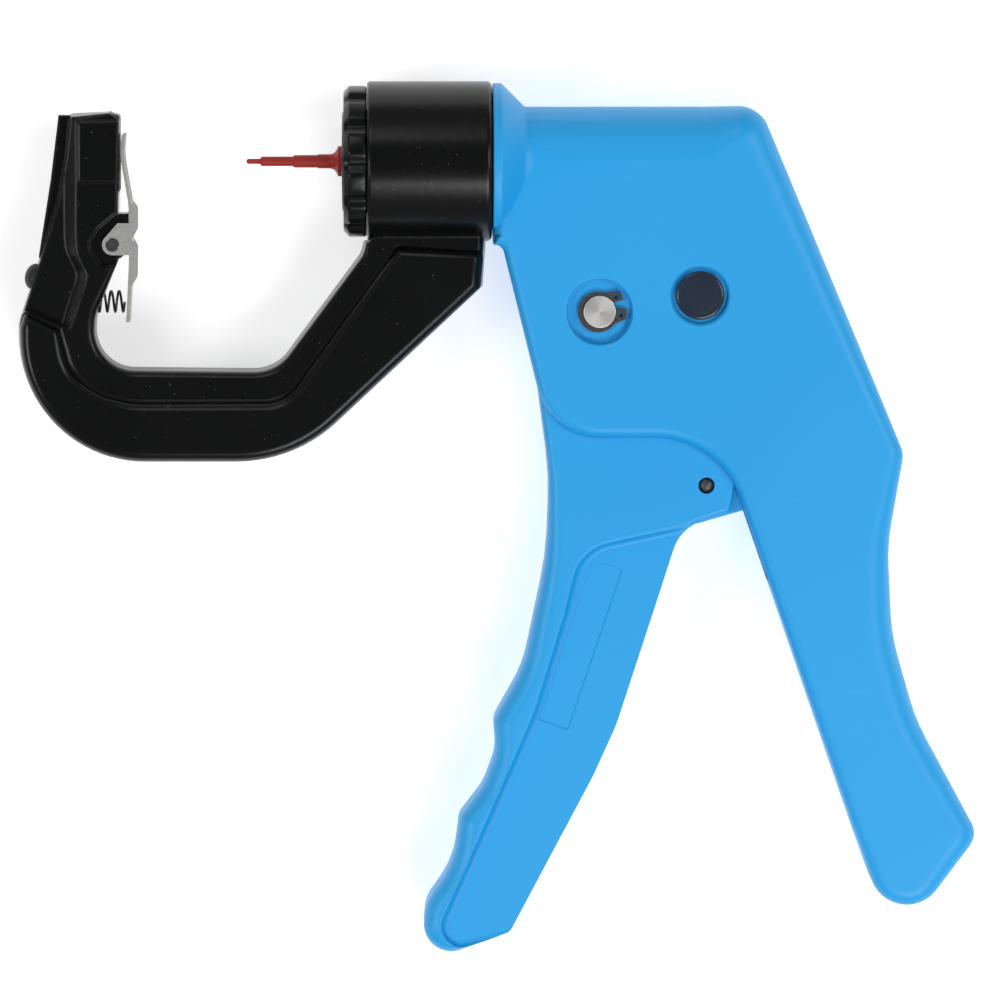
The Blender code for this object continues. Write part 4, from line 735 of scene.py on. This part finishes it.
def make_jaw():
    """Neck with its plateau, anvil block, the arm's thin back and spine, collar, and the fittings' seats."""
    jaw = place("jaw_casting", loft(jaw_outline(), cast_edge(JAW_BAND_HALF)))
    carve(jaw, loft(plateau_outline(), raised_edge(JAW_BAND_HALF, JAW_PLATEAU_HALF)), "UNION")
    block = [
        (-128.1, 12.9, 1.2, 0.9), (-128.1, -6.3, 0.8, 0.9), (-115.6, -6.3, 0, 0.6), (-115.1, 12.9, 0, 0.6),
    ]
    carve(jaw, slab(block, 10.3), "UNION")
    floor = [(-150, 20), (-150, -43.6)] + smooth_path([
        (-133.1, -51.2), (-130.7, -42.9), (-128.3, -35.4), (-129.6, -31.2), (-131.8, -24.9), (-132.0, -8),
        (-132.0, 20),
    ])
    brow = [(-150, 20), (-150, -43.0)] + smooth_path([
        (-130.4, -51.6), (-127.6, -43.6), (-125.2, -35.4), (-127.2, -30.2), (-128.4, -24.9), (-128.4, -8),
        (-128.4, 20),
    ])
    for side in (1, -1):
        carve(jaw, prism(floor, side * JAW_ARM_HALF, side * (JAW_BAND_HALF + 0.2), brow), "DIFFERENCE")
    spine = [(-127.0, 14.3), (-134.0, 14.4), (-136.5, -5.6), (-140.3, -29.4), (-139.6, -30.6), (-134.0, -24),
             (-128.0, -5)]
    carve(jaw, prism(spine, -SPINE_HALF, SPINE_HALF), "UNION")
    bore = NOSE_R + REST_GAP
    collar = [(0, bore)] + arc((-1.6, 23.2), 1.6, 0, 90)
    collar += arc((COLLAR_FRONT_X + 1.0, 23.8), 1.0, 90, 180) + [(COLLAR_FRONT_X, bore)]
    carve(jaw, turned(collar, "X", ring=True), "UNION")
    pocket = [(-112.0, -13.6, 0), (-116.9, -16.2, 1), (-121.9, -20.4, 3), (-125.0, -25.6, 3),
              (-120.4, -33.2, 3), (-115.0, -31.4, 0), (-112.0, -31.4, 0)]
    for side in (1, -1):
        carve(jaw, prism(filleted(pocket), side * 7.0, side * 11.5), "DIFFERENCE")
    boss = [(CLIP_AXIS.x - 2, -15.9), (CLIP_AXIS.x + 4.8, -15.9)] + circle(4.8, CLIP_AXIS, 24, 0, -math.pi)
    carve(jaw, prism(boss, -6.95, 6.95), "UNION")
    carve(jaw, rod(CLIP_HOLE_R, -12, 12, centre=CLIP_AXIS, steps=32), "DIFFERENCE")
    carve(jaw, rod(3.9, -123.0, ANVIL_FACE_X, "X", centre=(CLIP_SPRING_Y, 0), steps=48), "DIFFERENCE")
    slot = [(-118.3, -9.3), (-112, -9.3), (-112, 20), (-118.3, 20)]
    carve(jaw, prism(slot, -7.3, 7.3), "DIFFERENCE")
    carve(jaw, rod(3.1, -122.3, -117.3, "X", steps=48), "DIFFERENCE")
    seat = [(5, 0), (5, 4.5), (-1.6, 4.5), (-1.6, 2.3), (-6, 2.3), (-6, 0)]
    carve(jaw, knob_turn(seat), "DIFFERENCE")
    dress(jaw, BLACK, "jaw", ["jaw_frame"], bevel=0.25, sharp=30)


def knob_turn(profile):
    """A turned solid whose axis leaves the back of the anvil arm squarely."""
    bm = turned([(-spot, radius) for spot, radius in profile], "X", steps=48)
    lean = Matrix.Rotation(KNOB_LEAN, 4, "Z")
    bmesh.ops.transform(bm, matrix=Matrix.Translation(KNOB_PLACE) @ lean, verts=bm.verts)
    return bm


def make_nut():
    """Scalloped ring: twelve finger grips, a chamfer and a raised lip in front.

    Each station is a place along the axis with its own radius, or with a drop below the nut's.
    """
    flutes, span, deep = 12, math.radians(17), 1.5
    pitch = 2 * math.pi / flutes
    per = 16
    stations = [
        (NUT_BACK_X, 16.3, 0), (NUT_BACK_X, 0, 0.6), (NUT_BACK_X - 0.3, 0, 0.2), (NUT_BACK_X - 0.7, 0, 0),
        (NUT_FRONT_X + 2.0, 0, 0), (NUT_FRONT_X + 1.6, 0, 0.2), (NUT_FRONT_X + 0.2, 0, 1.8),
        (NUT_FRONT_X, 0, 2.1), (NUT_FRONT_X, 18.4, 0), (NUT_FRONT_X + 0.5, 18.0, 0),
        (NUT_FRONT_X + 0.5, 16.3, 0),
    ]
    bm = bmesh.new()
    rows = []
    for x, fixed, drop in stations:
        row = []
        for i in range(flutes * per):
            angle = i / per * pitch
            phi = (i % per) / per * pitch
            phi = min(phi, pitch - phi)
            depth = deep * 0.5 * (1 + math.cos(math.pi * min(phi / (span / 2), 1)))
            radius = fixed or min(NUT_R - depth, NUT_R - drop)
            row.append(bm.verts.new((x, radius * math.cos(angle), radius * math.sin(angle))))
        rows.append(row)
    for one, two in zip(rows, rows[1:] + rows[:1]):
        for i in range(len(one)):
            j = (i + 1) % len(one)
            bm.faces.new((one[i], one[j], two[j], two[i]))
    bmesh.ops.recalc_face_normals(bm, faces=bm.faces)
    dress(place("clamp_nut", bm), BLACK, "housing", ["lock_nut"])


def make_turned_pieces():
    bush = [(-46.4, 5.2)] + [(-46.4, 13.4), (-45.9, 14.0), (-46.4, 14.6)] + arc((-45.6, 14.8), 0.8, 180, 90)
    bush += [(-44.2, 15.6), (-44.2, 12.2), (-33.9, 12.2), (-33.9, 5.2)]
    dress(place("guide_bush", turned(bush, "X", ring=True)), CAP, "housing",
          ["plunger_bush"])

    tip = [
        (-76.0, 0), (-75.95, 0.3), (-75.75, 0.6), (-75.4, 0.8), (-72.0, 0.8), (-71.7, 0.9), (-71.4, 1.4),
        (-71.2, 1.5), (-61.7, 1.5), (-61.5, 1.6), (-61.3, 1.85), (-61.0, 1.95), (-54.1, 1.95), (-53.9, 2.05),
        (-53.7, 2.2), (-50.2, 2.2), (-49.4, 2.35), (-48.7, 2.75), (-48.2, 3.3), (-47.9, 3.9), (-47.7, 4.5),
        (-47.4, 4.7), (-44.2, 4.7), (-44.0, 4.5), (-44.0, 2.95), (-32.2, 2.95), (-31.4, 2.15), (-31.4, 0),
    ]
    dress(place("tag_pin", turned(tip, "X", steps=48)), RED, "plunger", ["applicator_pin"])

    ring_low, ring_high, end = 13.45, 15.1, 15.9
    half = [(ring_low, 5.0), (ring_low, 4.3), (ring_high, 4.3), (ring_high, 5.0), (end - 0.35, 5.0),
            (end - 0.1, 4.9), (end, 4.7), (end, 0.8), (end - 0.03, 0.6), (end - 0.12, 0)]
    dress(place("lever_pin", turned(both_ends(half), centre=LEVER_AXIS)), FACED, "housing",
          ["lever_pivot_pin"])

    cap = [(15.7, 0), (15.7, 4.2), (14.6, 4.2), (14.6, 7.4), (14.7, 7.5), (15.7, 7.5), (16.0, 7.42),
           (16.25, 7.2), (16.4, 6.9), (16.45, 6.6), (16.42, 6.3), (16.55, 5.4), (16.75, 3.6), (16.88, 1.8),
           (16.95, 0)]
    for side, label in ((1, "near"), (-1, "far")):
        profile = [(side * spot, radius) for spot, radius in cap]
        dress(place(f"cap_{label}_dome", turned(profile, centre=TRIGGER_AXIS)), CAP, "housing",
              [f"pivot_cap_{label}"])

    half = [(11.4, 2.2), (11.8, 2.1), (12.2, 1.7), (12.5, 1.1), (12.66, 0.5), (12.7, 0)]
    ear_pin = turned(both_ends(half), centre=LINK_AXIS, steps=48)
    dress(place("ear_pin", ear_pin), DARK, "trigger_arm", ["trigger_link_pin"])

    half = [(8.3, 1.9), (8.5, 1.85), (8.6, 1.7), (8.6, 1.15), (8.3, 1.0), (8.3, 0)]
    clip_pin = turned(both_ends(half), centre=CLIP_AXIS, steps=40)
    dress(place("clip_pin", clip_pin), DARK, "jaw", ["clip_pivot_pin"])

    knob = [(3.4, 0), (3.35, 0.9), (3.1, 1.9), (2.6, 2.85), (1.9, 3.55), (1.0, 4.05), (0.0, 4.2), (-1.3, 4.2),
            (-1.3, 2.0), (-5.7, 2.0), (-5.7, 0)]
    dress(place("back_knob", knob_turn(knob)), RUBBER, "jaw", ["arm_knob"])


def make_circlips():
    """Snap rings that widen away from their gap, with an eyed ear at each end."""
    gap_at, ear_turn, groove = math.radians(17.5), math.radians(25.8), 4.5
    ears = [
        ([(1.4, 5.8, 0), (5.9, 6.4, 0.9), (7.6, 3.7, 0.7), (4.3, 2.9, 0.4)], (4.97, 4.64)),
        ([(4.9, 0.8, 0.4), (8.4, 1.1, 0.8), (8.2, -2.2, 0.8), (4.6, -3.8, 0)], (6.58, -1.0)),
    ]
    for side, node in ((1, "circlip_near"), (-1, "circlip_far")):
        low, high = sorted((side * 13.6, side * 14.8))
        outer, inner = [], []
        for i in range(65):
            turn = ear_turn + 2 * (math.pi - ear_turn) * i / 64
            thick = 1.3 + 0.9 * (1 - math.cos(turn)) / 2
            spoke = Vector((math.cos(gap_at + turn), math.sin(gap_at + turn)))
            inner.append((LEVER_AXIS + spoke * groove)[:])
            outer.append((LEVER_AXIS + spoke * (groove + thick))[:])
        clip = place(f"snap_ring_{node[8:]}", prism(outer + inner[::-1], low, high))
        for corners, eye in ears:
            ear = filleted([(LEVER_AXIS.x + x, LEVER_AXIS.y + y, r) for x, y, r in corners])
            carve(clip, prism(ear, low + 0.01, high - 0.01), "UNION")
            carve(clip, rod(0.75, low - 1, high + 1, centre=LEVER_AXIS + Vector(eye), steps=24), "DIFFERENCE")
        carve(clip, rod(groove, low - 1, high + 1, centre=LEVER_AXIS), "DIFFERENCE")
        dress(clip, DARK, "housing", [node], bevel=0.12)


def make_clip():
    """Bent sheet clip: forked prongs, a plate with side lugs round the pin, and a tab for the spring."""
    blade = strip(smooth_path(CLIP_PATH, 5), CLIP_THICK)
    clip = place("clip_sheet", prism(blade, -CLIP_HALF, CLIP_HALF))
    fork = filleted([(-118, -3.2, 0), (-106, -3.2, 0), (-106, 3.2, 0), (-118, 3.2, 0)])
    cutter = prism(fork, -12.5, 12)
    upright = Matrix.Rotation(math.radians(-90), 3, "X")
    bmesh.ops.rotate(cutter, verts=cutter.verts, cent=(0, 0, 0), matrix=upright)
    carve(clip, cutter, "DIFFERENCE")
    front = CLIP_PATH[3][0]
    lug = [(front, CLIP_AXIS.y - 3.2), (front, CLIP_AXIS.y + 6.7), (CLIP_AXIS.x + 1.6, CLIP_AXIS.y + 6.7)]
    lug += circle(3.2, CLIP_AXIS, 24, math.radians(140), math.radians(130))
    lobes = filleted([
        (front - 0.3, -11.4, 0), (front + 1.9, -14.4, 1.5), (front + 1.9, -21.0, 1.5),
        (front + 0.4, -23.7, 1), (front + 1.9, -26.4, 1.5), (front + 1.7, -36.0, 1.5),
        (front - 0.5, -39.6, 0),
    ])
    for side in (1, -1):
        carve(clip, prism(lug, side * 7.3, side * 8.39), "UNION")
        carve(clip, prism(lobes, side * 7.35, side * 8.34), "UNION")
    carve(clip, rod(CLIP_HOLE_R, -9.4, 9.4, centre=CLIP_AXIS, steps=40), "DIFFERENCE")
    dress(clip, SHEET, "clip", ["tag_clip"], bevel=0.1)


def make_insert():
    outline = filleted([(ANVIL_FACE_X, -9, 0), (ANVIL_FACE_X, 14.4, 0.8), (-118, 15.2, 0), (-118, -9, 0)])
    plate = place("anvil_insert", prism(outline, -7.0, 7.0))
    carve(plate, rod(2.8, -119, -114, "X", steps=64), "DIFFERENCE")
    dress(plate, DARK, "jaw", ["anvil_plate"], bevel=0.15)


# Coils


def coil_tree():
    """Geometry nodes: a wire wound along X, from its turns, radius, length and thickness."""
    tree = bpy.data.node_groups.new("wound_wire", "GeometryNodeTree")
    face = tree.interface
    face.new_socket("Geometry", in_out="INPUT", socket_type="NodeSocketGeometry")
    face.new_socket("Geometry", in_out="OUTPUT", socket_type="NodeSocketGeometry")
    for name in ("Turns", "Radius", "Length", "Wire"):
        face.new_socket(name, in_out="INPUT", socket_type="NodeSocketFloat")
    face.new_socket("Finish", in_out="INPUT", socket_type="NodeSocketMaterial")
    nodes, links = tree.nodes, tree.links
    given = nodes.new("NodeGroupInput")
    spiral = nodes.new("GeometryNodeCurveSpiral")
    spiral.inputs["Resolution"].default_value = 28
    links.new(given.outputs["Turns"], spiral.inputs["Rotations"])
    links.new(given.outputs["Radius"], spiral.inputs["Start Radius"])
    links.new(given.outputs["Radius"], spiral.inputs["End Radius"])
    links.new(given.outputs["Length"], spiral.inputs["Height"])
    ring = nodes.new("GeometryNodeCurvePrimitiveCircle")
    ring.inputs["Resolution"].default_value = 12
    links.new(given.outputs["Wire"], ring.inputs["Radius"])
    skin = nodes.new("GeometryNodeCurveToMesh")
    skin.inputs["Fill Caps"].default_value = True
    links.new(spiral.outputs["Curve"], skin.inputs["Curve"])
    links.new(ring.outputs["Curve"], skin.inputs["Profile Curve"])
    real = nodes.new("GeometryNodeRealizeInstances")
    links.new(skin.outputs["Mesh"], real.inputs["Geometry"])
    paint = nodes.new("GeometryNodeSetMaterial")
    links.new(real.outputs["Geometry"], paint.inputs["Geometry"])
    links.new(given.outputs["Finish"], paint.inputs["Material"])
    result = nodes.new("NodeGroupOutput")
    links.new(paint.outputs["Geometry"], result.inputs["Geometry"])
    return tree


def make_coil(tree, name, node, turns, radius, wire, start, end, y):
    """One coil spring along X, made by the tree and turned into a plain mesh in its place."""
    item = bpy.data.objects.new(name, bpy.data.meshes.new(name))
    bpy.context.scene.collection.objects.link(item)
    modifier = item.modifiers.new("wound", "NODES")
    modifier.node_group = tree
    length = end - start - 2 * wire
    sizes = {"Turns": float(turns), "Radius": radius, "Length": length, "Wire": wire, "Finish": DARK}
    for socket in tree.interface.items_tree:
        if socket.in_out == "INPUT" and socket.name in sizes:
            modifier[socket.identifier] = sizes[socket.name]
    bake_modifiers(item)
    bm = bmesh.new()
    bm.from_mesh(item.data)
    bmesh.ops.remove_doubles(bm, verts=bm.verts, dist=1e-5)
    bmesh.ops.recalc_face_normals(bm, faces=bm.faces)
    turn = Matrix.Translation((start + wire, y, 0)) @ Matrix.Rotation(math.radians(90), 4, "Y")
    bmesh.ops.transform(bm, matrix=turn, verts=bm.verts)
    bpy.data.objects.remove(item, do_unlink=True)
    body = "jaw" if node == "clip_spring" else "housing"
    return dress(place(name, bm), DARK, body, [node])


def make_springs():
    tree = coil_tree()
    small = make_coil(tree, "clip_coil", "clip_spring", 3.5, 3.2, 0.4,
                      CLIP_SPRING_FOOT_X, CLIP_SPRING_END_X, CLIP_SPRING_Y)
    large = make_coil(tree, "return_coil", "return_spring", 12, 6.2, 0.7,
                      SPRING_FRONT_X, SPRING_BACK_X, 0)
    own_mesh(large)
    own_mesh(small)


def finish_inner_pieces():
    """The CAD nodes that stay: ground and blackened steel."""
    for names, material in (
        (("plunger_rod", "plunger_cross_pin", "spring_seat", "lever_link_pin", "trigger_pivot_pin"), BRIGHT),
        (("drive_lever", "pull_link", "seat_ring"), DARK),
    ):
        for name in names:
            for slot in frame["nodes"][name].material_slots:
                slot.material = material


# Stage


def make_stage():
    """A pale floor that glows faintly, a sky that darkens upwards, and four soft lights."""
    bm = bmesh.new()
    bmesh.ops.create_grid(bm, x_segments=1, y_segments=1, size=4.0)
    bmesh.ops.translate(bm, verts=bm.verts, vec=(0, 0, -FLOOR_DROP * MM))
    mesh = bpy.data.meshes.new("floor")
    bm.to_mesh(mesh)
    bm.free()
    floor = bpy.data.objects.new("floor", mesh)
    bpy.context.scene.collection.objects.link(floor)
    material = bpy.data.materials.new("pale_floor")
    material.use_nodes = True
    shader = material.node_tree.nodes["Principled BSDF"]
    shader.inputs["Base Color"].default_value = (FLOOR_SHADE, FLOOR_SHADE, FLOOR_SHADE, 1)
    shader.inputs["Roughness"].default_value = 0.9
    shader.inputs["Specular IOR Level"].default_value = 0.0
    shader.inputs["Emission Color"].default_value = (1, 1, 1, 1)
    shader.inputs["Emission Strength"].default_value = FLOOR_GLOW
    mesh.materials.append(material)

    world = bpy.data.worlds.new("studio")
    world.use_nodes = True
    start = Wire(world.node_tree)
    height = component(start, start.node("TexCoord"), 2)
    shades = {"From Min": 0.5, "From Max": 0.95, "To Min": SKY_LOW, "To Max": SKY_TOP}
    sky = start.node("MapRange", None, {"Value": height, **shades})
    background = world.node_tree.nodes["Background"]
    background.inputs["Color"].default_value = (1, 1, 1, 1)
    world.node_tree.links.new(sky.socket, background.inputs["Strength"])
    bpy.context.scene.world = world
    bpy.context.scene.view_settings.view_transform = "Standard"

    lights = [
        ("key", (0.40, -0.80, 1.30), 0.7, 11.5),
        ("fill_right", (0.95, 0.25, 1.15), 0.6, 5.6),
        ("fill_left", (-0.95, -0.05, 1.15), 0.5, 5.6),
        ("fill_top", (-0.35, 1.05, 1.10), 0.6, 2.4),
    ]
    for name, spot, size, power in lights:
        lamp = bpy.data.lights.new(name, "AREA")
        lamp.shape = "SQUARE"
        lamp.size = size
        lamp.energy = power
        item = bpy.data.objects.new(name, lamp)
        item.location = spot
        item.rotation_euler = (Vector((0, 0, 0.02)) - Vector(spot)).to_track_quat("-Z", "Y").to_euler()
        bpy.context.scene.collection.objects.link(item)


def make_camera():
    """From above with a slight lean to the top, as in the photograph."""
    distance = 2.5
    span = PHOTO_PIXELS * MM_A_PIXEL * MM
    target = DATUM + Vector((0.93, -103.2, 7)) * MM
    lean_left, lean_up = math.radians(0.8), math.radians(4.5)
    offset = Vector((-math.tan(lean_left), math.tan(lean_up), 1)).normalized() * distance
    camera = bpy.data.cameras.new("camera")
    camera.sensor_width = 36
    camera.lens = 36 * distance / span
    item = bpy.data.objects.new("camera", camera)
    forward = -offset.normalized()
    right = forward.cross(Vector((0, 1, 0))).normalized()
    up = right.cross(forward)
    turn = Matrix((right, up, -forward)).transposed()
    item.matrix_world = Matrix.Translation(target + offset) @ turn.to_4x4()
    bpy.context.scene.collection.objects.link(item)
    bpy.context.scene.camera = item


make_body()
make_trigger()
make_jaw()
make_nut()
make_turned_pieces()
make_circlips()
make_clip()
make_insert()
make_springs()
finish_inner_pieces()
make_stage()
make_camera()
